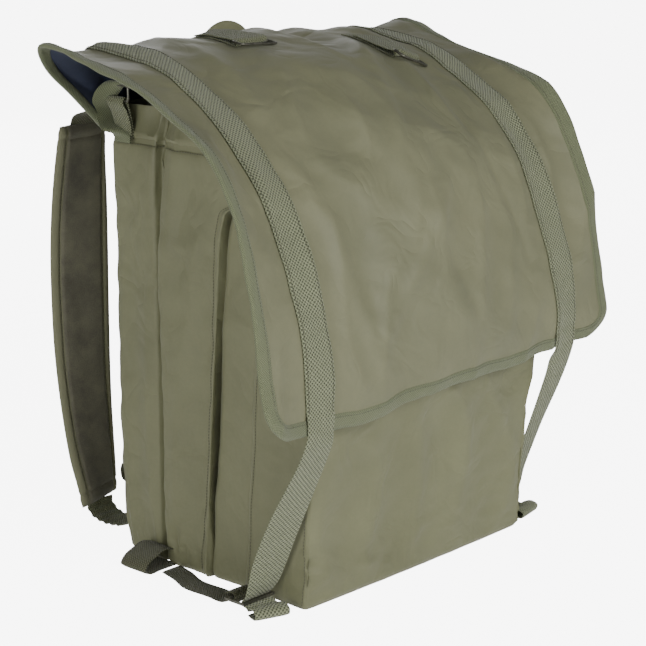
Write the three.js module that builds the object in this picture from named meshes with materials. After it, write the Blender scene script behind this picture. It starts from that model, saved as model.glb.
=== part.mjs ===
// A large soldier's rucksack standing on its base, lid closed over the bag.
// Millimetres, +Z up. The lid falls down the front, which looks along -Y, and the wearer's
// side looks along +Y. Left is -X. The origin is the middle of the base, on the ground.
import * as THREE from 'three';

// Main bag and front pocket
const BAG_WIDTH = 366;
const BAG_DEPTH = 278; // base, pocket front to back panel
const BAG_HEIGHT = 470; // ground to the side seam under the collar
const COLLAR_RISE = 38;
const BACK_BULGE = 11;
const SIDE_BULGE = 3;
const TOP_LEAN = 50; // upper bag's forward bulge over the pocket
const SEAM_LINE = 7; // welt's place at the ground, forward of the origin is minus
const SEAM_SLOPE = 0.076; // forward drift of the welt with height
const BAG_CLOTH = 2;
const BACK_CORNER = 8; // rounding of the two back edges
const FOLD_RISE = 1; // cloth's stand-off ahead of the pleat
const PLEAT_PLACE = 76;
const PLEAT_DEPTH = 6;
const PLEAT_WIDTH = 9;
const WELT_LIP = 5;
const WELT_WIDTH = 18;
const POCKET_HEIGHT = 395;
const POCKET_BULGE = 22;
const GUSSET_WIDTH = 58;
const GUSSET_DEPTH = 7;
const GUSSET_ROUND = 5;
const POCKET_EDGE = 3; // rounding of the two front edges
const PANEL_SWELL = 3;

// Lid, its lining and edge tape
const LID_OVERHANG = 102; // beyond each side of the bag
const LID_RISE = 96; // over the side seam
const LID_DROP = 354; // lid top to front hem
const RIDGE_SET = 1; // rear ridge of the lid behind the base's rear edge
const LID_FRONT = 41; // front of the lid ahead of the base's front edge
const LID_CORNER = 35;
const LID_CROWN = 24; // swell between the straps
const LID_FLARE = 26; // lift of the wings outside the straps
const LID_TILT = 9; // lift of the left wing, drop of the right one
const WING_CURVE = 1.6; // power of the wings' lift with distance from the strap
const LID_CLOTH = 2;
const LINING = 1.2;
const TAPE = 15;
const TAPE_THICK = 3;
const TAPE_GAP = 1; // between the cloth's cut edge and the folded tape

// Webbing and straps
const GAP = 0.3;
const WEBBING = 40;
const WEBBING_THICK = 2.2;
const STRAP_CLEAR = 21; // lid strap's centre line outside the bag's side
const STRAP_SPREAD = 7; // outward drift of the hanging strap
const BUCKLE_RUN = 84; // buckle's place behind the lid's hem
const BUCKLE_HEIGHT = 12; // buckle bar's centre over the ground
const TAIL_REACH = 30;
const BASE_WEBBING = 28;
const BASE_STRAP_INSET = 86; // its end ahead of the base's rear edge
const BASE_INSET = 1.5; // the base is this much narrower than the side
const BUCKLE_WIDTH = 47;
const BUCKLE_LENGTH = 28;
const BUCKLE_THICK = 3;
const BUCKLE_BAR = 3.4;

// Tabs, wire pieces and handle
const TAB_WIDTH = 45;
const TAB_LENGTH = 78;
const TAB_CLEAR = 1;
const TAB_FALL = 3; // fall of a tab's upper layer behind its bar, in turns of the webbing
const WIRE = 3;
const WIRE_SIDES = 6;
const LINK_WIDTH = 54;
const LINK_LENGTH = 15;
const SLIDE_WIDTH = 36;
const SLIDE_LENGTH = 16;
const CORNER_WEBBING = 26;
const HANDLE_SPAN = 96;
const HANDLE_RISE = 112; // top over the side seam
const HANDLE_HEIGHT = 82;
const HANDLE_BAND = 24;
const HANDLE_THICK = 7;
const HANDLE_STEPS = 10;

// Shoulder straps
const PAD_INSET = 33; // centre line inside the bag's side
const PAD_WIDTH = 76;
const PAD_THICK = 13;
const PAD_SIDES = 12;
const PAD_SQUARENESS = 0.6; // power that flattens the pad's oval section
const PAD_END = 0.5; // thickness share where the webbing is sewn in
const PAD_CLEAR = 1.4; // from the twisted end of the pad to the middle of its webbing
const PAD_REACH = 100; // furthest stand-off behind the back panel
const PAD_FOOT = 32;
const PAD_RISE = 3; // top over the side seam
const LOWER_WEBBING = 38;

// Pieces at the upper and lower back corners, heights over the side seam or the ground
const CORNER_INSET = 12; // ahead of the base's rear edge
const SLIDE_HEIGHT = 52;
const SLIDE_OUT = 10; // slide's centre outside the bag's side
const LOOP_REACH = 26;
const BASE_LOOP_INSET = 60; // ahead of the base's rear edge
const BASE_LOOP_REACH = 46;
const BASE_LOOP_HEIGHT = 24;
const KEEPER_INSET = 23; // inside the bag's side
const KEEPER_HEIGHT = 86;
const KEEPER_LENGTH = 22;
const KEEPER_REACH = 9;

const X = new THREE.Vector3(1, 0, 0);
const Y = new THREE.Vector3(0, 1, 0);
const Z = new THREE.Vector3(0, 0, 1);
const SIDES = { left: -1, right: 1 };

const MATERIALS = {
  nylon: { color: 0x747058, roughness: 0.62, metalness: 0 },
  lining: { color: 0x2f3444, roughness: 0.8, metalness: 0 },
  webbing: { color: 0x878d78, roughness: 0.85, metalness: 0 },
  pad: { color: 0x4c4a3b, roughness: 0.9, metalness: 0 },
  steel: { color: 0x6c6b60, roughness: 0.45, metalness: 0.8 },
};

const pack = new THREE.Group();

function place(name, geometry, material) {
  const mesh = new THREE.Mesh(geometry, new THREE.MeshStandardMaterial(MATERIALS[material]));
  mesh.name = name;
  pack.add(mesh);
  return mesh;
}

function solid(points, triangles) {
  const geometry = new THREE.BufferGeometry();
  const values = points.flatMap((point) => point.toArray());
  geometry.setAttribute('position', new THREE.Float32BufferAttribute(values, 3));
  geometry.setIndex(triangles.flat());
  geometry.computeVertexNormals();
  return geometry;
}

// Value of one column of a table between its rows
function columnAt(table, column, place01) {
  const spot = place01 * (table.length - 1);
  const row = Math.min(Math.floor(spot), table.length - 2);
  return THREE.MathUtils.lerp(table[row][column], table[row + 1][column], spot - row);
}

// Outer surface normals of a grid of points whose columns run along +X
function dress(grid) {
  const ahead = (line, k) => line[Math.min(k + 1, line.length - 1)];
  const behind = (line, k) => line[Math.max(k - 1, 0)];
  return grid.map((row, r) => row.map((point, c) => {
    const along = ahead(grid, r)[c].clone().sub(behind(grid, r)[c]);
    const across = ahead(row, c).clone().sub(behind(row, c));
    return { point, normal: along.cross(across).normalize() };
  }));
}

// Closed sheet between two offsets of a dressed grid, on the cells that keep(row, column) picks
function sheet(grid, low, high, keep = () => true) {
  const points = [];
  const numbers = new Map();
  const corner = (r, c) => {
    const key = `${r}/${c}`;
    if (!numbers.has(key)) {
      const { point, normal } = grid[r][c];
      numbers.set(key, points.length);
      points.push(point.clone().addScaledVector(normal, high));
      points.push(point.clone().addScaledVector(normal, low));
    }
    return numbers.get(key);
  };
  const tops = [];
  for (let r = 0; r < grid.length - 1; r += 1) {
    for (let c = 0; c < grid[0].length - 1; c += 1) {
      if (keep(r, c)) {
        tops.push([corner(r, c), corner(r + 1, c), corner(r + 1, c + 1)]);
        tops.push([corner(r, c), corner(r + 1, c + 1), corner(r, c + 1)]);
      }
    }
  }
  const edges = new Set(tops.flatMap(([a, b, c]) => [`${a}/${b}`, `${b}/${c}`, `${c}/${a}`]));
  const walls = [];
  for (const edge of edges) {
    const [from, to] = edge.split('/').map(Number);
    if (!edges.has(`${to}/${from}`)) {
      walls.push([to, from, from + 1], [to, from + 1, to + 1]);
    }
  }
  const bottoms = tops.map(([a, b, c]) => [a + 1, c + 1, b + 1]);
  return solid(points, [...tops, ...bottoms, ...walls]);
}

// Grid of a flat strap along a path, its width along one direction
function ribbonGrid(path, across, width) {
  const half = across.clone().normalize().multiplyScalar(width / 2);
  return dress(path.map((point) => [point.clone().sub(half), point.clone().add(half)]));
}

function ribbon(path, across, width, thickness) {
  return sheet(ribbonGrid(path, across, width), -thickness / 2, thickness / 2);
}

// Closed skin over rings of equal count, with flat ends, or joined end to end
function skin(rings, joined = false) {
  const count = rings[0].length;
  const points = rings.flat();
  const triangles = [];
  const spans = joined ? rings.length : rings.length - 1;
  for (let r = 0; r < spans; r += 1) {
    const here = r * count;
    const next = ((r + 1) % rings.length) * count;
    for (let k = 0; k < count; k += 1) {
      const turn = (k + 1) % count;
      triangles.push([here + k, here + turn, next + turn], [here + k, next + turn, next + k]);
    }
  }
  if (!joined) {
    triangles.push(...fan(points, 0, count, true), ...fan(points, spans * count, count, false));
  }
  return solid(points, triangles);
}

// Triangles from a new middle point to a ring that starts at one number
function fan(points, start, count, flipped) {
  const middle = new THREE.Vector3();
  for (let k = 0; k < count; k += 1) {
    middle.addScaledVector(points[start + k], 1 / count);
  }
  points.push(middle);
  const hub = points.length - 1;
  return Array.from({ length: count }, (_, k) => {
    const pair = [start + k, start + ((k + 1) % count)];
    return flipped ? [hub, pair[1], pair[0]] : [hub, ...pair];
  });
}

// Ring moved inwards by a wall; the ring runs counterclockwise seen from above
const MITRE_LIMIT = 0.6;

function inset(ring, wall) {
  const count = ring.length;
  return ring.map((spot, k) => {
    const before = spot.clone().sub(ring[(k + count - 1) % count]).normalize();
    const after = ring[(k + 1) % count].clone().sub(spot).normalize();
    const first = new THREE.Vector2(before.y, -before.x);
    const both = first.clone().add(new THREE.Vector2(after.y, -after.x)).normalize();
    return spot.clone().addScaledVector(both, -wall / Math.max(both.dot(first), MITRE_LIMIT));
  });
}

// Open-topped cloth vessel from outer rings { ring, height }
function vessel(levels, wall) {
  const lift = (ring, height) => ring.map((spot) => new THREE.Vector3(spot.x, spot.y, height));
  const outside = levels.map(({ ring, height }) => lift(ring, height));
  const inside = levels.map(({ ring, height }) => lift(inset(ring, wall), height));
  inside[0].forEach((point) => point.setZ(levels[0].height + wall));
  return skin([...outside, ...inside.reverse()]);
}

// Full outline from its left half, which runs from the middle of the back to the front
function mirrored(half) {
  const right = half.slice(1, -1).reverse();
  return [...half, ...right.map((spot) => new THREE.Vector2(-spot.x, spot.y))];
}

const weltPlace = (height) => SEAM_LINE - SEAM_SLOPE * height;
const backPlace = BAG_DEPTH / 2;
const backFace = backPlace + BACK_BULGE;
const bagHalf = BAG_WIDTH / 2;
const ridgePlace = backPlace + RIDGE_SET;
const lidReach = ridgePlace + backPlace + LID_FRONT;
const lidTop = BAG_HEIGHT + LID_RISE;
const lidHalf = bagHalf + LID_OVERHANG;
const strapPlace = bagHalf + STRAP_CLEAR;
const cornerPlace = backPlace - CORNER_INSET;
const padPlace = bagHalf - PAD_INSET;
const padHead = BAG_HEIGHT + PAD_RISE;

// Main bag: height and width shares, bulge of the back, of the sides, and lean of the front
const BAG_LEVELS = [
  { height: 0, half: 0.975, back: -0.4, side: 0, lean: 0 },
  { height: 0.013, half: 0.995, back: 0, side: 0, lean: 0 },
  { height: 0.06, half: 1, back: 0.5, side: 0.5, lean: 0 },
  { height: 0.13, half: 1, back: 0.95, side: 0.8, lean: 0 },
  { height: 0.3, half: 1, back: 1, side: 1, lean: 0 },
  { height: 0.5, half: 1, back: 1, side: 1, lean: 0 },
  { height: 0.7, half: 1, back: 1, side: 0.9, lean: 0 },
  { height: 0.86, half: 1, back: 1, side: 0.7, lean: 0 },
  { height: 0.9, half: 1, back: 1, side: 0.5, lean: 0.55 },
  { height: 0.965, half: 1, back: 1, side: 0.3, lean: 1 },
  { height: 0.99, half: 0.995, back: 1, side: 0.1, lean: 0.98 },
  { height: 1, half: 0.98, back: 1, side: 0, lean: 0.9 },
];
// Collar above the side seam, its height as a share of its own rise
const COLLAR_LEVELS = [
  { height: 0.18, half: 0.988, back: 1, side: 0, lean: 0.7 },
  { height: 0.5, half: 0.97, back: 1, side: 0, lean: 0.3 },
  { height: 1, half: 0.95, back: 0.9, side: 0, lean: -0.1 },
];

const bagRows = [
  ...BAG_LEVELS.map((row) => ({ row, height: row.height * BAG_HEIGHT })),
  ...COLLAR_LEVELS.map((row) => ({ row, height: BAG_HEIGHT + row.height * COLLAR_RISE })),
];

// One column of the bag's tables at a height over the ground
function bagColumn(column, height) {
  const next = bagRows.findIndex((level) => level.height >= height);
  const [low, high] = [bagRows[Math.max(next - 1, 0)], bagRows[next]];
  const share = (height - low.height) / Math.max(high.height - low.height, 1);
  return THREE.MathUtils.lerp(low.row[column], high.row[column], share);
}

const backAt = (height) => backPlace + BACK_BULGE * bagColumn('back', height);
const sideAt = (height) => bagHalf * bagColumn('half', height)
  + SIDE_BULGE * bagColumn('side', height);

function bagOutline({ half, back, side, lean }, height) {
  const wide = bagHalf * half;
  const rear = backPlace + BACK_BULGE * back;
  const chamfer = BACK_CORNER * (1 - Math.SQRT1_2);
  const full = wide + SIDE_BULGE * side;
  const front = weltPlace(height) - TOP_LEAN * lean;
  const pleat = Math.max(PLEAT_PLACE, front + WELT_WIDTH + PLEAT_WIDTH);
  return mirrored([
    [0, rear],
    [wide / 2, rear],
    [wide - BACK_CORNER, rear],
    [wide - chamfer, rear - chamfer],
    [wide, rear - BACK_CORNER],
    [full, (rear + pleat) / 2],
    [full, pleat + PLEAT_WIDTH / 2],
    [full - PLEAT_DEPTH, pleat],
    [full + FOLD_RISE, pleat - PLEAT_WIDTH / 2],
    [full + FOLD_RISE, (pleat + front + WELT_WIDTH) / 2],
    [wide + FOLD_RISE, front + WELT_WIDTH],
    [wide + WELT_LIP, front + WELT_WIDTH / 2],
    [wide + WELT_LIP, front + BAG_CLOTH / 2],
    [wide - GUSSET_DEPTH / 2, front],
    [wide / 2, front],
    [0, front],
  ].map(([x, y]) => new THREE.Vector2(-x, y)));
}

function mainBag() {
  const levels = bagRows.map(({ row, height }) => ({ ring: bagOutline(row, height), height }));
  return vessel(levels, BAG_CLOTH);
}

// Front pocket: height share, front bulge and gusset depth
const POCKET_LEVELS = [
  { height: 0, bulge: -0.2, gusset: 0.6, half: 0.975 },
  { height: 0.015, bulge: 0, gusset: 0.8, half: 0.995 },
  { height: 0.1, bulge: 0.1, gusset: 1, half: 1 },
  { height: 0.25, bulge: 0.25, gusset: 1, half: 1 },
  { height: 0.38, bulge: 0.4, gusset: 1, half: 1 },
  { height: 0.5, bulge: 0.65, gusset: 1, half: 1 },
  { height: 0.65, bulge: 1, gusset: 1, half: 1 },
  { height: 0.8, bulge: 0.8, gusset: 1, half: 1 },
  { height: 0.92, bulge: 0.1, gusset: 1, half: 0.99 },
  { height: 1, bulge: -0.5, gusset: 0.9, half: 0.97 },
];

function pocketOutline({ bulge, gusset, half }, height) {
  const wide = bagHalf * half;
  const deep = wide - GUSSET_DEPTH * gusset;
  const rear = weltPlace(height) - GAP;
  const seam = rear - GUSSET_WIDTH;
  const front = -backPlace - POCKET_BULGE * bulge;
  return mirrored([
    [0, rear],
    [wide / 2, rear],
    [deep - GUSSET_ROUND, rear],
    [deep, rear - GUSSET_ROUND],
    [deep, (rear + seam) / 2],
    [wide - GUSSET_ROUND / 2, seam + GUSSET_ROUND],
    [wide, seam],
    [wide + FOLD_RISE, (seam + front) / 2],
    [wide, front + POCKET_EDGE],
    [wide - POCKET_EDGE, front],
    [(wide * 2) / 3, front - PANEL_SWELL / 2],
    [wide / 3, front - PANEL_SWELL],
    [0, front - PANEL_SWELL],
  ].map(([x, y]) => new THREE.Vector2(-x, y)));
}

function frontPocket() {
  const levels = POCKET_LEVELS.map((row) => {
    const height = row.height * POCKET_HEIGHT;
    return { ring: pocketOutline(row, height), height };
  });
  return vessel(levels, BAG_CLOTH);
}

// Lid from the neck seam at the back to the front hem: shares of its reach and drop, then
// its width, the swell between the straps, the lift of the wings and the tilt to one side
const neckPlace = backFace + GAP + LINING + GAP + LID_CLOTH / 2;
const NECK = (ridgePlace - neckPlace) / lidReach;
const LID_ROWS = [
  { fore: NECK, down: 0.232, half: 0.69, crown: 0, flare: 0, tilt: 0 },
  { fore: NECK, down: 0.13, half: 0.83, crown: 0, flare: 0, tilt: 0.2 },
  { fore: -0.031, down: 0.051, half: 0.95, crown: 0.1, flare: 0.1, tilt: 0.6 },
  { fore: -0.003, down: 0.01, half: 1, crown: 0.4, flare: 0.3, tilt: 1 },
  { fore: 0.078, down: 0, half: 1, crown: 0.45, flare: 0.2, tilt: 1 },
  { fore: 0.187, down: 0.014, half: 1, crown: 0.5, flare: -0.1, tilt: 1 },
  { fore: 0.294, down: 0.035, half: 1, crown: 0.6, flare: -0.2, tilt: 1 },
  { fore: 0.41, down: 0.073, half: 1, crown: 0.75, flare: 0.1, tilt: 0.8 },
  { fore: 0.55, down: 0.144, half: 1, crown: 0.9, flare: 0.6, tilt: 0.4 },
  { fore: 0.687, down: 0.243, half: 1, crown: 0.9, flare: 1, tilt: 0.1 },
  { fore: 0.787, down: 0.342, half: 1, crown: 0.8, flare: 0.9, tilt: 0 },
  { fore: 0.869, down: 0.469, half: 1, crown: 0.7, flare: 0.5, tilt: 0 },
  { fore: 0.922, down: 0.596, half: 1, crown: 0.6, flare: 0.25, tilt: 0 },
  { fore: 0.962, down: 0.709, half: 1, crown: 0.5, flare: 0.1, tilt: 0 },
  { fore: 0.991, down: 0.822, half: 1, crown: 0.4, flare: 0, tilt: 0 },
  { fore: 1, down: 0.907, half: 1, crown: 0.35, flare: 0, tilt: 0 },
  { fore: 0.991, down: 1, half: 1, crown: 0.3, flare: 0.1, tilt: 0 },
];
const CURVE_STEPS = 24;

const lidSpine = new THREE.CatmullRomCurve3(LID_ROWS.map((row) => (
  new THREE.Vector3(0, ridgePlace - row.fore * lidReach, lidTop - row.down * LID_DROP))));
const lidLength = lidSpine.getLength();

// Point of the lid's middle surface, by its place across and its distance from the front hem
function lidPoint(across, fromHem) {
  const share = THREE.MathUtils.clamp(1 - fromHem / lidLength, 0, 1);
  const row = (column) => columnAt(LID_ROWS, column, lidSpine.getUtoTmapping(share));
  const outward = lidSpine.getTangentAt(share).cross(X);
  const reach = Math.abs(across);
  const inner = Math.cos((Math.PI / 2) * Math.min(reach / strapPlace, 1)) ** 2;
  const outer = Math.max((reach - strapPlace) / (lidHalf - strapPlace), 0) ** WING_CURVE;
  const swell = LID_CROWN * row('crown') * inner + LID_FLARE * row('flare') * outer;
  const point = lidSpine.getPointAt(share).addScaledVector(outward, swell);
  point.z -= LID_TILT * row('tilt') * (across / lidHalf);
  return point.setX(across * row('half'));
}

// Lid point with the two front corners rounded
function cornered(across, fromHem) {
  const inX = 1 - (lidHalf - Math.abs(across)) / LID_CORNER;
  const inHem = 1 - fromHem / LID_CORNER;
  if (inX <= 0 || inHem <= 0) {
    return lidPoint(across, fromHem);
  }
  const wide = lidHalf - LID_CORNER + LID_CORNER * inX * Math.sqrt(1 - inHem ** 2 / 2);
  const low = LID_CORNER - LID_CORNER * inHem * Math.sqrt(1 - inX ** 2 / 2);
  return lidPoint(Math.sign(across) * wide, low);
}

// The lid's rows are its table's, with one at the tape's edge and one at the corners' start
const knotLengths = lidSpine.getLengths((LID_ROWS.length - 1) * CURVE_STEPS);
const knots = LID_ROWS.map((_, k) => lidLength - knotLengths[k * CURVE_STEPS]);
const LID_STATIONS = [...knots.filter((length) => length > LID_CORNER + TAPE), LID_CORNER, TAPE, 0];
const STRAP_EDGES = [strapPlace - WEBBING / 2, strapPlace + WEBBING / 2];
const HALF_COLUMNS = [
  STRAP_EDGES[0] / 3, (STRAP_EDGES[0] * 2) / 3, ...STRAP_EDGES,
  lidHalf - LID_CORNER, lidHalf - TAPE, lidHalf,
];
const LID_COLUMNS = [...HALF_COLUMNS.map((x) => -x).reverse(), 0, ...HALF_COLUMNS];
const lidGrid = dress(LID_STATIONS.map((fromHem) => LID_COLUMNS.map((x) => cornered(x, fromHem))));
const lastRow = LID_STATIONS.length - 1;
const lastColumn = LID_COLUMNS.length - 1;
const underTape = (r, c) => c === 0 || c === lastColumn - 1 || r === lastRow - 1;

// The tape's inner corners stand a gap outside the cloth
function tapeGrid() {
  const outwards = (c) => (c === 1 ? 0 : lastColumn);
  return lidGrid.map((row, r) => row.map((cell, c) => {
    const atSide = c === 1 || c === lastColumn - 1;
    const atHem = r === lastRow - 1;
    const inside = c >= 1 && c <= lastColumn - 1 && r <= lastRow - 1;
    if (!inside || !(atSide || atHem)) {
      return cell;
    }
    const outer = lidGrid[atHem ? lastRow : r][atSide ? outwards(c) : c];
    const step = outer.point.clone().sub(cell.point).setLength(TAPE_GAP);
    return { point: cell.point.clone().add(step), normal: cell.normal };
  }));
}

// Lid strap: share of the fall from the hem to the buckle, share of the run back, outward drift
const HANG_ROWS = [
  { fall: 0.05, run: 0.02, out: 0 },
  { fall: 0.14, run: 0.1, out: 0.1 },
  { fall: 0.27, run: 0.24, out: 0.4 },
  { fall: 0.49, run: 0.49, out: 0.8 },
  { fall: 0.65, run: 0.66, out: 1 },
  { fall: 0.81, run: 0.82, out: 1 },
  { fall: 0.92, run: 0.92, out: 1 },
];
// Strap's tail in front of the buckle, as shares of its reach: forward and over the ground
const TAIL_ROWS = [
  { fore: 0.2, up: 0.2 },
  { fore: 0.45, up: 0.34 },
  { fore: 0.75, up: 0.38 },
  { fore: 0.97, up: 0.26 },
  { fore: 0.93, up: 0.1 },
  { fore: 0.65, up: 0.05 },
  { fore: 0.2, up: 0.05 },
];
const strapLift = TAPE_THICK / 2 + GAP + WEBBING_THICK / 2;
const hemSpot = lidGrid[lastRow][LID_COLUMNS.indexOf(STRAP_EDGES[1])].point;
const hemFront = hemSpot.y - strapLift;
const buckleBar = new THREE.Vector3(0, hemFront + BUCKLE_RUN, BUCKLE_HEIGHT);
// Middle of webbing that turns round a bar in steps of an eighth of a circle
const turnRadius = (bar) => (bar + GAP + WEBBING_THICK / 2) / Math.cos(Math.PI / 8);
const buckleRadius = turnRadius(Math.hypot(BUCKLE_BAR, BUCKLE_THICK) / 2);

// Half turn round a bar that runs along X, from over it, behind it, to under it
function turn(bar, radius, x, direction) {
  return [-75, -30, 15, 60, 105].map((angle) => {
    const lean = THREE.MathUtils.degToRad(angle);
    const behind = direction * radius * Math.cos(lean);
    return new THREE.Vector3(x, bar.y + behind, bar.z - radius * Math.sin(lean));
  });
}

function lidStrap(side) {
  const start = LID_COLUMNS.indexOf(side < 0 ? -STRAP_EDGES[1] : STRAP_EDGES[0]);
  const lifted = ({ point, normal }) => point.clone().addScaledVector(normal, strapLift);
  const onLid = lidGrid.slice(2).map((row) => row.slice(start, start + 2).map(lifted));
  const x = (out) => side * (strapPlace + STRAP_SPREAD * out);
  const hanging = HANG_ROWS.map((row) => new THREE.Vector3(
    x(row.out),
    THREE.MathUtils.lerp(hemFront, buckleBar.y, row.run),
    THREE.MathUtils.lerp(hemSpot.z, buckleBar.z, row.fall),
  ));
  const tail = TAIL_ROWS.map((row) => new THREE.Vector3(
    x(1), buckleBar.y - buckleRadius - row.fore * TAIL_REACH, row.up * TAIL_REACH));
  const free = [...hanging, ...turn(buckleBar, buckleRadius, x(1), 1), ...tail];
  const half = X.clone().multiplyScalar(WEBBING / 2);
  const pairs = free.map((point) => [point.clone().sub(half), point.clone().add(half)]);
  return sheet(dress([...onLid, ...pairs]), -WEBBING_THICK / 2, WEBBING_THICK / 2);
}

const buckleX = (side) => side * (strapPlace + STRAP_SPREAD);

// Flat buckle with two slots, its front bar at the origin
function ladderLock() {
  const slot = (BUCKLE_LENGTH - 3 * BUCKLE_BAR) / 2;
  const inner = BUCKLE_WIDTH / 2 - (BUCKLE_WIDTH - WEBBING) / 4;
  const box = (path, x, low, high) => {
    path.moveTo(-x, low);
    path.lineTo(x, low);
    path.lineTo(x, high);
    path.lineTo(-x, high);
    path.closePath();
    return path;
  };
  const rim = BUCKLE_BAR / 2;
  const outline = box(new THREE.Shape(), BUCKLE_WIDTH / 2, -rim, BUCKLE_LENGTH - rim);
  outline.holes = [0, 1].map((k) => {
    const low = rim + k * (slot + BUCKLE_BAR);
    return box(new THREE.Path(), inner, low, low + slot);
  });
  const plate = new THREE.ExtrudeGeometry(outline, { depth: BUCKLE_THICK, bevelEnabled: false });
  return plate.translate(0, 0, -BUCKLE_THICK / 2);
}

// Base strap: folded round the buckle's rear bar, then back along the ground to the corner
const BASE_STRAP_ROWS = [
  { run: 0.12, aside: 0 },
  { run: 0.3, aside: 0 },
  { run: 0.6, aside: 0 },
  { run: 0.8, aside: 0.6 },
  { run: 1, aside: 1 },
];

function baseStrap(side) {
  const rearBar = buckleBar.clone().setY(buckleBar.y + BUCKLE_LENGTH - BUCKLE_BAR);
  const seam = side * (bagHalf - BASE_INSET + BASE_WEBBING / 2);
  const end = new THREE.Vector3(buckleX(side), rearBar.y + 3 * buckleRadius, rearBar.z);
  const run = BASE_STRAP_ROWS.map((row) => new THREE.Vector3(
    THREE.MathUtils.lerp(buckleX(side), seam, row.aside),
    THREE.MathUtils.lerp(rearBar.y, backPlace - BASE_STRAP_INSET, row.run), GAP + WEBBING_THICK / 2));
  const path = [end, ...turn(rearBar, buckleRadius, buckleX(side), -1), ...run];
  return ribbon(path, X, BASE_WEBBING, WEBBING_THICK);
}

// Rounded rectangle of round wire in the plane of two directions, sized to the wire's middle
function wireLink(centre, wide, long, width, length) {
  const radius = WIRE;
  const corners = [[1, 1, 0], [-1, 1, 90], [-1, -1, 180], [1, -1, 270]];
  const depth = wide.clone().cross(long).normalize();
  const around = (angle, first, second, size) => first.clone()
    .multiplyScalar(Math.cos(angle) * size)
    .addScaledVector(second, Math.sin(angle) * size);
  const rings = corners.flatMap(([a, b, angle]) => [0, 45, 90].map((more) => {
    const outward = around(THREE.MathUtils.degToRad(angle + more), wide, long, 1);
    const middle = centre.clone()
      .addScaledVector(wide, a * (width / 2 - radius))
      .addScaledVector(long, b * (length / 2 - radius))
      .addScaledVector(outward, radius);
    return Array.from({ length: WIRE_SIDES }, (_, k) => {
      const spin = (-k / WIRE_SIDES) * 2 * Math.PI;
      return middle.clone().add(around(spin, outward, depth, WIRE / 2));
    });
  }));
  return skin(rings, true);
}

// Top tabs: centre line's place across, and the way from the hem to the link's rear bar, as
// shares of the lid's half width and length
const TABS = {
  left: { across: -0.2175, fromHem: 0.734 },
  right: { across: 0.449, fromHem: 0.637 },
};
const tabSpot = (name) => (
  { across: TABS[name].across * lidHalf, fromHem: TABS[name].fromHem * lidLength });
const wireTurn = turnRadius(WIRE / 2);

// Directions on the lid: towards the hem, to the right and out of the cloth
function lidFrame(across, fromHem) {
  const point = lidPoint(across, fromHem);
  const ahead = lidPoint(across, fromHem - 1).sub(lidPoint(across, fromHem + 1)).normalize();
  const aside = lidPoint(across + 1, fromHem).sub(lidPoint(across - 1, fromHem)).normalize();
  return { point, ahead, aside, up: ahead.clone().cross(aside).normalize() };
}

function topTab({ across, fromHem }) {
  const floor = LID_CLOTH / 2 + TAB_CLEAR + WEBBING_THICK / 2;
  const sewn = floor + WEBBING_THICK + GAP;
  const bar = floor + wireTurn;
  const columns = [-0.5, 0, 0.5].map((share) => across + share * TAB_WIDTH);
  const row = (share, height, out) => columns.map((x) => {
    const { point, ahead, up } = lidFrame(x, fromHem + share * TAB_LENGTH);
    return point.addScaledVector(up, height).addScaledVector(ahead, out);
  });
  const lower = [1, 0.75, 0.5, 0.25, 0].map((share) => row(share, floor, 0));
  const bend = [-45, 0, 45].map((angle) => {
    const lean = THREE.MathUtils.degToRad(angle);
    return row(0, bar + wireTurn * Math.sin(lean), wireTurn * Math.cos(lean));
  });
  const upper = [0, 0.12, 0.3, 0.55, 0.8].map((share) => (
    row(share, Math.max(sewn, bar + wireTurn * (1 - TAB_FALL * share)), 0)));
  return sheet(dress([...lower, ...bend, ...upper]), -WEBBING_THICK / 2, WEBBING_THICK / 2);
}

function tabLink({ across, fromHem }) {
  const { point, ahead, aside, up } = lidFrame(across, fromHem);
  const height = LID_CLOTH / 2 + TAB_CLEAR + WEBBING_THICK / 2 + wireTurn;
  const centre = point.addScaledVector(up, height).addScaledVector(ahead, LINK_LENGTH / 2);
  return wireLink(centre, aside, ahead, LINK_WIDTH, LINK_LENGTH);
}

// Carry handle: a flat padded band that stands up behind the lid's neck
function carryHandle() {
  const outer = HANDLE_SPAN / 2;
  const inner = outer - HANDLE_BAND;
  const top = BAG_HEIGHT + HANDLE_RISE;
  const foot = top - HANDLE_HEIGHT;
  const outline = new THREE.Shape();
  outline.moveTo(outer, foot);
  outline.lineTo(outer, top - outer);
  outline.absarc(0, top - outer, outer, 0, Math.PI, false);
  outline.lineTo(-outer, foot);
  outline.lineTo(-inner, foot);
  outline.lineTo(-inner, top - HANDLE_BAND - inner);
  outline.absarc(0, top - HANDLE_BAND - inner, inner, Math.PI, 0, true);
  outline.lineTo(inner, foot);
  const band = new THREE.ExtrudeGeometry(outline, {
    depth: HANDLE_THICK, bevelEnabled: false, curveSegments: HANDLE_STEPS,
  });
  const rear = neckPlace + LID_CLOTH / 2 + GAP + HANDLE_THICK;
  return band.rotateX(Math.PI / 2).translate(0, rear, 0);
}

// Shoulder pad: height share, stand-off share of its reach, and its twist in degrees
const PAD_ROWS = [
  { up: 0, out: 0.74, twist: 18 },
  { up: 0.03, out: 0.76, twist: 17 },
  { up: 0.13, out: 0.85, twist: 8 },
  { up: 0.27, out: 0.93, twist: 0 },
  { up: 0.4, out: 0.97, twist: -6 },
  { up: 0.54, out: 0.98, twist: -9 },
  { up: 0.68, out: 0.97, twist: -9 },
  { up: 0.81, out: 0.94, twist: -4 },
  { up: 0.94, out: 0.89, twist: 5 },
  { up: 1, out: 0.85, twist: 8 },
];

function padSpot(row, side) {
  return new THREE.Vector3(side * padPlace, backFace + row.out * PAD_REACH,
    THREE.MathUtils.lerp(PAD_FOOT, padHead, row.up));
}

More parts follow.
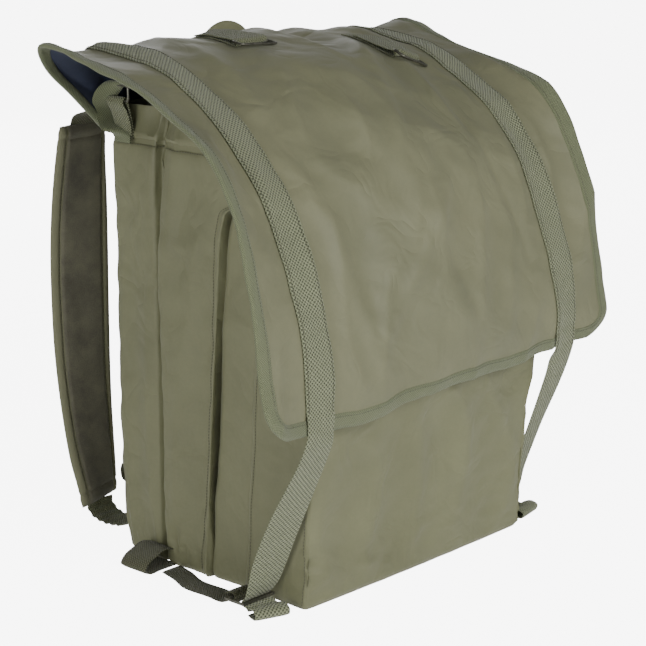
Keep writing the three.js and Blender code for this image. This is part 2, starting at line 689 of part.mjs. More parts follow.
function shoulderPad(side) {
  const spots = PAD_ROWS.map((row) => padSpot(row, side));
  const last = spots.length - 1;
  const squared = (value) => Math.sign(value) * Math.abs(value) ** PAD_SQUARENESS;
  const rings = PAD_ROWS.map((row, k) => {
    const along = spots[Math.min(k + 1, last)].clone().sub(spots[Math.max(k - 1, 0)]);
    const across = X.clone().applyAxisAngle(Z, THREE.MathUtils.degToRad(-side * row.twist));
    const depth = along.cross(across).normalize();
    const thick = PAD_THICK * (k === 0 || k === last ? PAD_END : 1);
    return Array.from({ length: PAD_SIDES }, (_, n) => {
      const angle = (n / PAD_SIDES) * 2 * Math.PI;
      return spots[k].clone()
        .addScaledVector(across, (squared(Math.cos(angle)) * PAD_WIDTH) / 2)
        .addScaledVector(depth, (squared(Math.sin(angle)) * thick) / 2);
    });
  });
  return skin(rings);
}

// Webbing from the pad's head and foot to the back panel: stand-off and climb from that end
// of the pad as shares of the pad's reach, then the climbs between which it is sewn down
const UPPER = {
  rows: [
    { out: 0.8, up: 0.09 },
    { out: 0.68, up: 0.15 },
    { out: 0.5, up: 0.17 },
    { out: 0.28, up: 0.1 },
    { out: 0.09, up: -0.06 },
  ],
  sewn: [-0.17, -0.33],
};
const LOWER = {
  rows: [
    { out: 0.73, up: -0.08 },
    { out: 0.66, up: -0.14 },
    { out: 0.5, up: -0.18 },
    { out: 0.3, up: -0.17 },
    { out: 0.12, up: -0.13 },
  ],
  sewn: [-0.03, 0.1],
};

function padWebbing({ rows, sewn }, end, before, side) {
  const start = padSpot(end, side);
  const away = start.clone().sub(padSpot(before, side)).setLength(PAD_CLEAR);
  const spot = (out, height) => new THREE.Vector3(side * padPlace, out, height);
  const path = [
    start.clone().add(away),
    ...rows.map((row) => spot(backFace + row.out * PAD_REACH, start.z + row.up * PAD_REACH)),
    ...sewn.map((up) => {
      const height = start.z + up * PAD_REACH;
      return spot(backAt(height) + GAP + WEBBING_THICK / 2, height);
    }),
  ];
  return ribbon(path, X, LOWER_WEBBING, WEBBING_THICK);
}

// Webbing tab, wire slide and loop at each upper back corner
// Tab: climb to the slide's height, and the way from the bag's side to the slide's bar
const TAB_ROWS = [
  { up: 0.04, lean: 0 },
  { up: 0.25, lean: 0.02 },
  { up: 0.6, lean: 0.5 },
];
// Loop below the slide: stand-off as a share of its reach, climb as one of the slide's height,
// and the climbs between which it is sewn on the tab's outer layer
const LOOP_ROWS = [
  { out: 0.85, up: 0.88 },
  { out: 1, up: 0.6 },
  { out: 0.82, up: 0.36 },
  { out: 0.42, up: 0.2 },
];
const LOOP_SEWN = [0.1, -0.04];

const cornerSpot = (side, out, height) => new THREE.Vector3(side * out, cornerPlace, height);
const cornerHeight = (up) => BAG_HEIGHT + up * SLIDE_HEIGHT;

// Turn round one bar of the slide, between two angles measured from straight outwards
function slideTurn(side, height, angles) {
  return angles.map((angle) => {
    const lean = THREE.MathUtils.degToRad(angle);
    const out = bagHalf + SLIDE_OUT + wireTurn * Math.cos(lean);
    return cornerSpot(side, out, BAG_HEIGHT + height + wireTurn * Math.sin(lean));
  });
}

// Middle of one layer of webbing sewn on the bag's side at the collar
function cornerSeat(layer) {
  const side = sideAt(BAG_HEIGHT + COLLAR_LEVELS[0].height * COLLAR_RISE);
  return side + WEBBING_THICK / 2 + GAP + layer * (WEBBING_THICK + GAP);
}

function cornerTab(side) {
  const bar = bagHalf + SLIDE_OUT;
  const layer = (rows, start, end) => rows.map((row) => (
    cornerSpot(side, THREE.MathUtils.lerp(start, end, row.lean), cornerHeight(row.up))));
  const path = [
    ...layer(TAB_ROWS, cornerSeat(1), bar + wireTurn),
    ...slideTurn(side, SLIDE_HEIGHT - SLIDE_LENGTH / 2, [0, 45, 90, 135, 180]),
    ...layer([...TAB_ROWS].reverse(), cornerSeat(0), bar - wireTurn),
  ];
  return ribbon(path, new THREE.Vector3(0, -side, 0), CORNER_WEBBING, WEBBING_THICK);
}

function wireSlide(side) {
  const centre = cornerSpot(side, bagHalf + SLIDE_OUT, BAG_HEIGHT + SLIDE_HEIGHT);
  return wireLink(centre, Y, Z, SLIDE_WIDTH, SLIDE_LENGTH);
}

function cornerLoop(side) {
  const path = [
    ...slideTurn(side, SLIDE_HEIGHT + SLIDE_LENGTH / 2, [180, 135, 90, 45, 0]),
    ...LOOP_ROWS.map((row) => (
      cornerSpot(side, bagHalf + row.out * LOOP_REACH, cornerHeight(row.up)))),
    ...LOOP_SEWN.map((up) => cornerSpot(side, cornerSeat(2), cornerHeight(up))),
  ];
  return ribbon(path, new THREE.Vector3(0, side, 0), CORNER_WEBBING, WEBBING_THICK);
}

// Ribbed webbing loop laid on the ground by each lower back corner, its ends at the bag's side:
// shares of its reach and height
const BASE_LOOP_ROWS = [
  { out: 0, up: 0.84 },
  { out: 0.25, up: 0.96 },
  { out: 0.6, up: 0.8 },
  { out: 0.92, up: 0.5 },
  { out: 1, up: 0.25 },
  { out: 0.9, up: 0.09 },
  { out: 0.5, up: 0.067 },
  { out: 0, up: 0.067 },
];

function baseLoop(side) {
  const path = BASE_LOOP_ROWS.map((row) => {
    const height = row.up * BASE_LOOP_HEIGHT;
    const end = sideAt(height + WEBBING_THICK / 2) + FOLD_RISE + 2 * GAP;
    const x = THREE.MathUtils.lerp(end, bagHalf + BASE_LOOP_REACH, row.out);
    return new THREE.Vector3(side * x, backPlace - BASE_LOOP_INSET, height);
  });
  return ribbon(path, new THREE.Vector3(0, -side, 0), WEBBING, WEBBING_THICK);
}

// Small webbing keeper low on each back edge: shares of its reach and length
const KEEPER_ROWS = [
  { out: 0, up: 0.5 },
  { out: 0.6, up: 0.45 },
  { out: 1, up: 0.09 },
  { out: 0.7, up: -0.4 },
  { out: 0, up: -0.5 },
];

function sideKeeper(side) {
  const path = KEEPER_ROWS.map((row) => {
    const height = KEEPER_HEIGHT + row.up * KEEPER_LENGTH;
    const out = backAt(height) + 2 * GAP + row.out * KEEPER_REACH;
    return new THREE.Vector3(side * (bagHalf - KEEPER_INSET), out, height);
  });
  return ribbon(path, new THREE.Vector3(-1, 0, 0), CORNER_WEBBING, WEBBING_THICK);
}

const inTape = (r, c) => !underTape(r, c);
const liningTop = -LID_CLOTH / 2 - GAP;

place('main_bag', mainBag(), 'nylon');
place('front_pocket', frontPocket(), 'nylon');
place('lid', sheet(lidGrid, -LID_CLOTH / 2, LID_CLOTH / 2, inTape), 'nylon');
place('lid_lining', sheet(lidGrid, liningTop - LINING, liningTop, inTape), 'lining');
place('lid_binding', sheet(tapeGrid(), -TAPE_THICK / 2, TAPE_THICK / 2, underTape), 'webbing');
place('carry_handle', carryHandle(), 'nylon');

for (const [name, side] of Object.entries(SIDES)) {
  const [foot, overFoot] = PAD_ROWS;
  const [underHead, head] = PAD_ROWS.slice(-2);
  place(`lid_strap_${name}`, lidStrap(side), 'webbing');
  const lock = place(`ladder_lock_${name}`, ladderLock(), 'steel');
  lock.position.copy(buckleBar).setX(buckleX(side));
  place(`base_strap_${name}`, baseStrap(side), 'webbing');
  place(`top_tab_${name}`, topTab(tabSpot(name)), 'webbing');
  place(`tab_link_${name}`, tabLink(tabSpot(name)), 'steel');
  place(`shoulder_pad_${name}`, shoulderPad(side), 'pad');
  place(`shoulder_upper_strap_${name}`, padWebbing(UPPER, head, underHead, side), 'webbing');
  place(`shoulder_lower_strap_${name}`, padWebbing(LOWER, foot, overFoot, side), 'webbing');
  place(`corner_tab_${name}`, cornerTab(side), 'webbing');
  place(`wire_slide_${name}`, wireSlide(side), 'steel');
  place(`corner_loop_${name}`, cornerLoop(side), 'webbing');
  place(`base_loop_${name}`, baseLoop(side), 'webbing');
  place(`side_keeper_${name}`, sideKeeper(side), 'webbing');
}

export default pack;
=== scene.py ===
# %% [markdown]
# # A soldier's rucksack in coated nylon and webbing
# The pack stands on its base with the lid closed. Every piece here is dressed over the solid
# model, which gives the places and sizes, so the cloth, webbing and wire are made in its frame.

# %% The frame
import math
import bpy
import numpy as np
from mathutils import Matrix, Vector


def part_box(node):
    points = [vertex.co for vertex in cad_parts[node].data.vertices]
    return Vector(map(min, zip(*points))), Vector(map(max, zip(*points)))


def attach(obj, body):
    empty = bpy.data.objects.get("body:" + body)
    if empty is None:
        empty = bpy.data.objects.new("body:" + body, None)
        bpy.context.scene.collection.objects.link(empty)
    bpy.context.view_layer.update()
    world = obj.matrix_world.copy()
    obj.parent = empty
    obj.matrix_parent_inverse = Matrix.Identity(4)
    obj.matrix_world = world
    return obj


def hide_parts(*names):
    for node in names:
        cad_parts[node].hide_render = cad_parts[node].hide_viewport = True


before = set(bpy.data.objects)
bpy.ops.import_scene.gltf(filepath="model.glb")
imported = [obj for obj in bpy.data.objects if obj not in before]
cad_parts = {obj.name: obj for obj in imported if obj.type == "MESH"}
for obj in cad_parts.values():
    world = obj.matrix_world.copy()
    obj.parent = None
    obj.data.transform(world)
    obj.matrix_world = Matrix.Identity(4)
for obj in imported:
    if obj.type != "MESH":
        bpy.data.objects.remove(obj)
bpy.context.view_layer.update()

MM = 0.001

# %% [markdown]
# ## Camera
# The picture was taken from the front left, a little above the pack, with a long lens. The
# distance and lens come from a fit: the camera and the pack's width and depth were changed
# together until the corners of base and lid fell close to where the picture shows them.

# %% Camera
CAMERA_PLACE = (-1620.1, -1495.3, 811.4)
CAMERA_TARGET = (-6.8, 0.0, 255.6)

camera = bpy.data.objects.new("photo_camera", bpy.data.cameras.new("photo_camera"))
bpy.context.scene.collection.objects.link(camera)
camera.data.sensor_fit = "HORIZONTAL"
camera.data.sensor_width = 36.0
camera.data.lens = 112.66
camera.location = Vector(CAMERA_PLACE) * MM
view_line = (Vector(CAMERA_TARGET) - Vector(CAMERA_PLACE)).normalized()
camera.rotation_euler = view_line.to_track_quat("-Z", "Y").to_euler()
bpy.context.scene.camera = camera
print("camera", tuple(round(value, 3) for value in camera.location))

# %% [markdown]
# ## Colours and nodes
# Colours are noted as they look on a screen and turned to linear light once, here. One small
# function adds a node, sets it and links it, so that each material below reads as a recipe.

# %% Colours and nodes
def linear(code):
    """Linear colour with alpha from an sRGB hex code."""
    parts = [int(code[k:k + 2], 16) / 255 for k in (1, 3, 5)]
    return (*[c / 12.92 if c <= 0.04045 else ((c + 0.055) / 1.055) ** 2.4 for c in parts], 1.0)


def add(tree, kind, values=None, **settings):
    """A node with its settings; values go to its inputs, and an output socket is linked."""
    node = tree.nodes.new(kind)
    for key, value in settings.items():
        setattr(node, key, value)
    for key, value in (values or {}).items():
        if isinstance(value, bpy.types.NodeSocket):
            tree.links.new(value, node.inputs[key])
        else:
            node.inputs[key].default_value = value
    return node


def blank_material(name):
    """A new material with an empty node tree and its output node."""
    material = bpy.data.materials.new(name)
    material.use_nodes = True
    material.node_tree.nodes.clear()
    return material, material.node_tree, add(material.node_tree, "ShaderNodeOutputMaterial")


def per_metre(size):
    """Noise scale for lumps of this size in millimetres."""
    return 1 / (size * MM)


print("colour check", [round(value, 3) for value in linear("#808080")[:3]])

# %% [markdown]
# ## Coated nylon
# The bag, pocket and lid are tightly woven nylon with a thin rubbery coating on one face. The
# threads are about 0.3 mm, too fine to see from here, so they are drawn at 1.1 mm and very
# shallow. What the eye gets is a soft broad sheen, cloudy fading in patches a hand wide, and
# fine crumpling that never quite presses out.

# %% Coated nylon
def coated_nylon(name, faded, deep, crumple):
    """Olive nylon with cloudy fading; crumple is the height of its fine creases."""
    material, tree, output = blank_material(name)
    place = add(tree, "ShaderNodeTexCoord").outputs["Object"]
    clouds = add(tree, "ShaderNodeTexNoise", {
        "Vector": place, "Scale": per_metre(120), "Detail": 5.0, "Roughness": 0.6})
    specks = add(tree, "ShaderNodeTexNoise", {
        "Vector": place, "Scale": per_metre(3.2), "Detail": 2.0})
    blend = add(tree, "ShaderNodeMath", {
        0: specks.outputs["Fac"], 1: 0.22, 2: clouds.outputs["Fac"]}, operation="MULTIPLY_ADD")
    tint = add(tree, "ShaderNodeValToRGB", {"Fac": blend.outputs[0]})
    tint.color_ramp.elements[0].position = 0.42
    tint.color_ramp.elements[0].color = linear(deep)
    tint.color_ramp.elements[1].position = 0.80
    tint.color_ramp.elements[1].color = linear(faded)
    threads = add(tree, "ShaderNodeTexNoise", {
        "Vector": place, "Scale": per_metre(1.1), "Detail": 1.0})
    creases = add(tree, "ShaderNodeTexNoise", {
        "Vector": place, "Scale": per_metre(55), "Detail": 2.0, "Roughness": 0.45,
        "Distortion": 0.7})
    fine = add(tree, "ShaderNodeBump", {
        "Height": threads.outputs["Fac"], "Strength": 0.12, "Distance": 0.0003})
    centred = add(tree, "ShaderNodeMath", {0: creases.outputs["Fac"], 1: 0.5},
                  operation="SUBTRACT")
    sharp = add(tree, "ShaderNodeMath", {0: centred.outputs[0]}, operation="ABSOLUTE")
    folds = add(tree, "ShaderNodeBump", {
        "Height": sharp.outputs[0], "Strength": crumple, "Distance": 0.012,
        "Normal": fine.outputs["Normal"]})
    gloss = add(tree, "ShaderNodeMapRange", {
        "Value": clouds.outputs["Fac"], "From Min": 0.3, "From Max": 0.7,
        "To Min": 0.50, "To Max": 0.64})
    skin = add(tree, "ShaderNodeBsdfPrincipled", {
        "Base Color": tint.outputs["Color"], "Roughness": gloss.outputs["Result"],
        "IOR": 1.5, "Specular IOR Level": 0.42, "Sheen Weight": 0.12,
        "Sheen Roughness": 0.5, "Normal": folds.outputs["Normal"]})
    tree.links.new(skin.outputs[0], output.inputs["Surface"])
    return material


bag_nylon = coated_nylon("bag_coated_nylon", "#7e7f60", "#707154", 0.55)
lid_nylon = coated_nylon("lid_coated_nylon", "#7f7f62", "#717258", 0.42)
lining_nylon = coated_nylon("lining_navy_nylon", "#333a52", "#262b3c", 0.2)
print("nylons", bag_nylon.name, lid_nylon.name, lining_nylon.name)

# %% [markdown]
# ## Cotton and nylon webbing
# Webbing is woven narrow and thick. Its face is a field of raised thread knuckles, each row
# shifted by half a knuckle, with gaps between. Two cosines multiplied give exactly that
# staggered field, with knuckles 4.6 mm apart on the lid straps and closer on the edge tape.
# The gaps are painted dark as shade and the knuckles painted pale as lit.

# %% Webbing
def webbing_finish(name, knuckle, shaded_gap, across, along, relief):
    """Woven webbing; across and along are the knuckles' spacing in millimetres."""
    material, tree, output = blank_material(name)
    cloth = add(tree, "ShaderNodeUVMap", uv_map="cloth").outputs["UV"]
    stray = add(tree, "ShaderNodeTexNoise", {
        "Vector": cloth, "Scale": per_metre(across * 1.6), "Detail": 2.0})
    offset = add(tree, "ShaderNodeVectorMath", {
        0: stray.outputs["Color"], 1: (0.5, 0.5, 0.5)}, operation="SUBTRACT")
    shaken = add(tree, "ShaderNodeVectorMath", {
        0: offset.outputs[0], 1: (0.2 * across * MM,) * 3, 2: cloth}, operation="MULTIPLY_ADD")
    parts = add(tree, "ShaderNodeSeparateXYZ", {0: shaken.outputs[0]})
    waves = []
    for socket, pitch in (("X", across), ("Y", along)):
        turns = add(tree, "ShaderNodeMath", {
            0: parts.outputs[socket], 1: 2 * math.pi / (pitch * MM)}, operation="MULTIPLY")
        waves.append(add(tree, "ShaderNodeMath", {0: turns.outputs[0]}, operation="COSINE"))
    field = add(tree, "ShaderNodeMath", {
        0: waves[0].outputs[0], 1: waves[1].outputs[0]}, operation="MULTIPLY")
    height = add(tree, "ShaderNodeMapRange", {
        "Value": field.outputs[0], "From Min": -0.75, "From Max": 0.75})
    fibre = add(tree, "ShaderNodeTexNoise", {
        "Vector": cloth, "Scale": per_metre(0.9), "Detail": 2.0})
    mixed = add(tree, "ShaderNodeMath", {
        0: fibre.outputs["Fac"], 1: 0.5, 2: height.outputs["Result"]}, operation="MULTIPLY_ADD")
    # Painted shade and light: the ramp runs from the dark colour in the weave's hollows to the pale
    # colour on its raised knuckles
    tint = add(tree, "ShaderNodeValToRGB", {"Fac": mixed.outputs[0]})
    tint.color_ramp.elements[0].position = 0.18
    tint.color_ramp.elements[0].color = linear(shaded_gap)
    tint.color_ramp.elements[1].position = 0.95
    tint.color_ramp.elements[1].color = linear(knuckle)
    relief_bump = add(tree, "ShaderNodeBump", {
        "Height": mixed.outputs[0], "Strength": relief, "Distance": 0.0011})
    face = add(tree, "ShaderNodeBsdfPrincipled", {
        "Base Color": tint.outputs["Color"], "Roughness": 0.86, "IOR": 1.5,
        "Specular IOR Level": 0.25, "Sheen Weight": 0.25, "Sheen Roughness": 0.4,
        "Normal": relief_bump.outputs["Normal"]})
    tree.links.new(face.outputs[0], output.inputs["Surface"])
    return material


strap_webbing = webbing_finish("basket_webbing", "#9a9f80", "#363a2a", 4.6, 4.4, 1.0)
tape_webbing = webbing_finish("edge_tape_webbing", "#858b6c", "#525840", 2.6, 2.4, 0.7)
twill_webbing = webbing_finish("twill_webbing", "#878b6c", "#414431", 3.6, 3.0, 0.9)
# A darker copy of the twill webbing with shade painted in, for the straps that lie in the pack's
# shadow
shaded_twill_webbing = webbing_finish("shaded_webbing", "#6c6d54", "#3a3b2c", 3.6, 3.0, 0.8)
print("webbings", strap_webbing.name, tape_webbing.name, twill_webbing.name)

# %% [markdown]
# ## Pad cloth, thread and steel
# The shoulder pads are faced with a rough dark cotton cloth, which scatters light and shows a
# dusty bloom at grazing angles. The thread is thick bonded nylon. The links and buckles are
# steel wire and plate with a dull grey phosphate finish, so they shine only softly.

# %% Pad cloth
def pad_cotton():
    """Dark cotton, its plain weave drawn at 1.4 mm, with a paler nylon rim past the seams."""
    material, tree, output = blank_material("pad_cotton_cloth")
    cloth = add(tree, "ShaderNodeUVMap", uv_map="cloth").outputs["UV"]
    clouds = add(tree, "ShaderNodeTexNoise", {
        "Vector": cloth, "Scale": per_metre(45), "Detail": 6.0, "Roughness": 0.65})
    weave = add(tree, "ShaderNodeTexNoise", {
        "Vector": cloth, "Scale": per_metre(1.4), "Detail": 2.0})
    blend = add(tree, "ShaderNodeMath", {
        0: weave.outputs["Fac"], 1: 0.45, 2: clouds.outputs["Fac"]}, operation="MULTIPLY_ADD")
    tint = add(tree, "ShaderNodeValToRGB", {"Fac": blend.outputs[0]})
    tint.color_ramp.elements[0].position = 0.45
    tint.color_ramp.elements[0].color = linear("#55534a")
    tint.color_ramp.elements[1].position = 0.95
    tint.color_ramp.elements[1].color = linear("#7a7866")
    bump = add(tree, "ShaderNodeBump", {
        "Height": blend.outputs[0], "Strength": 0.5, "Distance": 0.001})
    parts = add(tree, "ShaderNodeSeparateXYZ", {0: cloth})
    away = add(tree, "ShaderNodeMath", {0: parts.outputs["X"]}, operation="ABSOLUTE")
    rim = add(tree, "ShaderNodeMapRange", {
        "Value": away.outputs[0], "From Min": 26.2 * MM, "From Max": 27.6 * MM})
    dressed = add(tree, "ShaderNodeMixRGB", {
        "Fac": rim.outputs["Result"], "Color1": tint.outputs["Color"],
        "Color2": linear("#7c7c64")})
    face = add(tree, "ShaderNodeBsdfPrincipled", {
        "Base Color": dressed.outputs["Color"], "Roughness": 0.92, "IOR": 1.5,
        "Specular IOR Level": 0.2, "Sheen Weight": 0.3, "Sheen Roughness": 0.45,
        "Normal": bump.outputs["Normal"]})
    tree.links.new(face.outputs[0], output.inputs["Surface"])
    return material


pad_cloth = pad_cotton()
print("pad cloth", pad_cloth.name)

# %% Thread and steel
def rough_finish(name, high, low, grain, metallic, roughness, relief):
    """Speckled finish with grain of a size in millimetres, for thread and phosphated steel."""
    material, tree, output = blank_material(name)
    place = add(tree, "ShaderNodeTexCoord").outputs["Object"]
    grains = add(tree, "ShaderNodeTexNoise", {
        "Vector": place, "Scale": per_metre(grain), "Detail": 4.0, "Roughness": 0.65})
    tint = add(tree, "ShaderNodeValToRGB", {"Fac": grains.outputs["Fac"]})
    tint.color_ramp.elements[0].position = 0.35
    tint.color_ramp.elements[0].color = linear(low)
    tint.color_ramp.elements[1].position = 0.7
    tint.color_ramp.elements[1].color = linear(high)
    gloss = add(tree, "ShaderNodeMapRange", {
        "Value": grains.outputs["Fac"], "From Min": 0.3, "From Max": 0.7,
        "To Min": roughness - 0.08, "To Max": roughness + 0.08})
    bump = add(tree, "ShaderNodeBump", {
        "Height": grains.outputs["Fac"], "Strength": relief, "Distance": 0.0004})
    face = add(tree, "ShaderNodeBsdfPrincipled", {
        "Base Color": tint.outputs["Color"], "Roughness": gloss.outputs["Result"],
        "Metallic": metallic, "Normal": bump.outputs["Normal"]})
    tree.links.new(face.outputs[0], output.inputs["Surface"])
    return material


thread = rough_finish("bonded_nylon_thread", "#6c6c59", "#4b4b3d", 1.2, 0.0, 0.7, 0.3)
steel = rough_finish("phosphated_steel", "#8b8a80", "#5b5a50", 2.0, 0.9, 0.42, 0.25)
print("thread and steel", thread.name, steel.name)

# %% [markdown]
# ## Curves and skins
# Soft goods are easiest as grids of points: rows along the cloth, columns across it. A smooth
# curve through a few chosen rows gives the fine grid, and a closed shell between an upper
# and a lower grid gives cloth its thickness. Most pieces below are made with these helpers.

# %% Curves through chosen rows
def through(knots, values, places):
    """Smooth curve through the values at the knots, read at the places."""
    knots, values = np.asarray(knots, float), np.asarray(values, float)
    slopes = np.gradient(values, knots, axis=0)
    places = np.clip(places, knots[0], knots[-1])
    k = np.clip(np.searchsorted(knots, places, side="right") - 1, 0, len(knots) - 2)
    span = knots[k + 1] - knots[k]
    t = (places - knots[k]) / span
    if values.ndim > 1:
        t, span = t[..., None], span[..., None]
    ends = values[k] * (1 + 2 * t) * (1 - t) ** 2 + values[k + 1] * t * t * (3 - 2 * t)
    return ends + span * t * (1 - t) * (slopes[k] * (1 - t) - slopes[k + 1] * t)


def run_lengths(points):
    """Distance from the first point along a line of points."""
    steps = np.linalg.norm(np.diff(points, axis=0), axis=1)
    return np.concatenate([[0.0], np.cumsum(steps)])


def finer(grid, step):
    """Grid or line of points made finer along its rows, about one row every step."""
    grid = np.asarray(grid, float)
    line = grid if grid.ndim == 2 else grid[:, grid.shape[1] // 2]
    lengths = run_lengths(line)
    places = np.linspace(0, lengths[-1], max(round(lengths[-1] / step), 2) + 1)
    flat = through(lengths, grid.reshape(len(grid), -1), places)
    return flat.reshape(len(places), *grid.shape[1:])


def unit(vectors):
    """Vectors of length one."""
    return vectors / np.maximum(np.linalg.norm(vectors, axis=-1, keepdims=True), 1e-9)


def grid_normals(grid, round_columns=False):
    """Normals of a grid, along its rows crossed with across its columns."""
    along = np.gradient(grid, axis=0)
    across = np.gradient(grid, axis=1)
    if round_columns:
        across = np.roll(grid, -1, axis=1) - np.roll(grid, 1, axis=1)
    return unit(np.cross(along, across))


def ripple(u, v, size, seed):
    """Soft irregular swell of height about one, size millimetres from crest to crest."""
    chance = np.random.default_rng(seed)
    total = 0.0
    for _ in range(8):
        angle, phase = chance.uniform(0, 2 * math.pi, 2)
        pitch = 2 * math.pi / (size * chance.uniform(0.65, 1.6))
        total = total + np.sin(pitch * (u * math.cos(angle) + v * math.sin(angle)) + phase)
    return total / 2.8


print("ripple check", round(float(ripple(np.array(10.0), np.array(20.0), 50, 1)), 4))

# %% Skins and shells
def quads(ids):
    """Faces between the rows of a table of point numbers."""
    corners = [ids[:-1, :-1], ids[1:, :-1], ids[1:, 1:], ids[:-1, 1:]]
    return np.stack(corners, -1).reshape(-1, 4)


def shell(top, bottom):
    """Points and faces of a closed cloth between two grids."""
    count = top.shape[0] * top.shape[1]
    ids = np.arange(count).reshape(top.shape[:2])
    rim = np.concatenate([ids[:-1, 0], ids[-1, :-1], ids[:0:-1, -1], ids[0, :0:-1]])
    ahead = np.roll(rim, -1)
    walls = np.stack([ahead, rim, rim + count, ahead + count], -1)
    upper = quads(ids)
    points = np.concatenate([top.reshape(-1, 3), bottom.reshape(-1, 3)])
    return points, np.concatenate([upper, upper[:, ::-1] + count, walls]).tolist()


def round_skin(rings, joined=False):
    """Points and faces over closed rings, with flat ends, or joined end to end."""
    rows, count = rings.shape[:2]
    ids = np.arange(rows * count).reshape(rows, count)
    ids = np.concatenate([ids, ids[:, :1]], axis=1)
    if joined:
        ids = np.concatenate([ids, ids[:1]])
    faces = quads(ids)[:, ::-1].tolist()
    if not joined:
        faces += [ids[0, :-1][::-1].tolist(), ids[-1, :-1].tolist()]
    return rings.reshape(-1, 3), faces


def piece(name, built, material, nodes=(), cloth=None):
    """A mesh object in millimetres; cloth gives each point its place on the flat cloth."""
    points, faces = built
    mesh = bpy.data.meshes.new(name)
    mesh.from_pydata((points * MM).tolist(), [], faces)
    if cloth is not None:
        layer = mesh.uv_layers.new(name="cloth")
        numbers = np.empty(len(mesh.loops), dtype=np.int64)
        mesh.loops.foreach_get("vertex_index", numbers)
        layer.data.foreach_set("uv", (cloth.reshape(-1, 2) * MM)[numbers].ravel())
    mesh.polygons.foreach_set("use_smooth", [True] * len(mesh.polygons))
    mesh.set_sharp_from_angle(angle=math.radians(55))
    mesh.materials.append(material)
    made = bpy.data.objects.new(name, mesh)
    bpy.context.scene.collection.objects.link(made)
    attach(made, "root")
    if nodes:
        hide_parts(*nodes)
    return made


def flat_places(grid):
    """Across and along places of a grid on the flat cloth, centred across."""
    middle = grid.shape[1] // 2
    along = run_lengths(grid[:, middle])
    widths = np.linalg.norm(np.diff(grid, axis=1), axis=2).mean(axis=0)
    across = np.concatenate([[0.0], np.cumsum(widths)])
    across = across - across[-1] / 2
    return np.stack(np.broadcast_arrays(across[None, :], along[:, None]), -1)


def band(name, grid, thickness, material, nodes=()):
    """Webbing with rounded selvedges around its middle grid."""
    normals = grid_normals(grid)
    across = np.linspace(-1, 1, grid.shape[1])
    half = thickness / 2 * np.sqrt(np.maximum(1 - np.abs(across) ** 8, 0.15))
    lift = normals * half[None, :, None]
    places = flat_places(grid)
    both = np.concatenate([places, places])
    return piece(name, shell(grid + lift, grid - lift), material, nodes, both)


def strip(path, across, width, step=2.5, columns=9):
    """Middle grid of a flat strap along a path, its width along one or several directions."""
    across = unit(np.broadcast_to(np.asarray(across, float), np.shape(path)))
    offsets = np.linspace(-width / 2, width / 2, columns)
    rows = np.asarray(path, float)[:, None] + across[:, None] * offsets[None, :, None]
    return finer(rows, step)


print("helpers ready")

# %% [markdown]
# ## Stitches
# A lockstitch shows on the face as a row of short raised threads with a needle hole between
# them. Each is a small spindle laid on the cloth, because the rows catch light along every
# seam. All rows of one piece are joined into one mesh.

# %% Stitches
STITCH_PITCH = 3.6
STITCH_LENGTH = 2.9
THREAD_RADIUS = 0.42


def spindle_rows(line, normals):
    """Points and faces of one row of stitches along a line that lies on the cloth."""
    lengths = run_lengths(line)
    starts = np.arange(STITCH_PITCH / 2, lengths[-1] - STITCH_LENGTH, STITCH_PITCH)
    points, faces = [], []
    for start in starts:
        ends = [np.array([np.interp(start + more, lengths, line[:, k]) for k in range(3)])
                for more in (0.0, STITCH_LENGTH)]
        near = int(np.searchsorted(lengths, start))
        up = normals[min(near, len(normals) - 1)]
        ahead = unit(ends[1] - ends[0])
        side = unit(np.cross(ahead, up))
        base = len(points)
        for share, size in ((0.0, 0.35), (0.3, 1.0), (0.7, 1.0), (1.0, 0.35)):
            middle = ends[0] + (ends[1] - ends[0]) * share + up * 0.15
            for angle in (0, 1.2566, 2.5133, 3.7699, 5.0265):
                spot = side * math.cos(angle) + up * math.sin(angle)
                points.append(middle + spot * THREAD_RADIUS * size)
        for ring in range(3):
            for k in range(5):
                a, b = base + ring * 5 + k, base + ring * 5 + (k + 1) % 5
                faces.append([a, b, b + 5, a + 5])
        faces += [[base + k for k in (4, 3, 2, 1, 0)], [base + 15 + k for k in range(5)]]
    return points, faces


def stitches(name, rows):
    """One mesh of stitch rows, each row a line and its normals."""
    points, faces = [], []
    for line, normals in rows:
        more, links = spindle_rows(line, normals)
        faces += [[number + len(points) for number in face] for face in links]
        points += more
    print(name, len(faces) // 17, "stitches")
    return piece(name, (np.array(points), faces), thread)


# %% [markdown]
# ## The main bag
# The bag is one open-topped sack: a back panel, two sides with a standing pleat, and a raised
# welt where the front pocket is sewn on. A loft through chosen outlines makes it, because
# its sides pull in and swell with height. The outline's corners are then rounded by averaging
# neighbours, and soft swells and tucks are added along the normals.

# %% Sizes of the bag
BAG_HALF = 183.0
BAG_DEPTH = 278.0
BAG_HEIGHT = 470.0
BAG_TOP = BAG_HEIGHT + 38.0
BACK_PLACE = BAG_DEPTH / 2
BACK_BULGE = 11.0
SIDE_BULGE = 3.0
TOP_LEAN = 50.0
BAG_CLOTH = 2.0
BACK_CORNER = 8.0
PLEAT_PLACE, PLEAT_DEPTH, PLEAT_WIDTH = 76.0, 9.0, 10.0
WELT_LIP, WELT_WIDTH = 3.8, 9.0
POCKET_HEIGHT, POCKET_BULGE = 408.0, 22.0
GUSSET_WIDTH, GUSSET_DEPTH = 58.0, 3.5

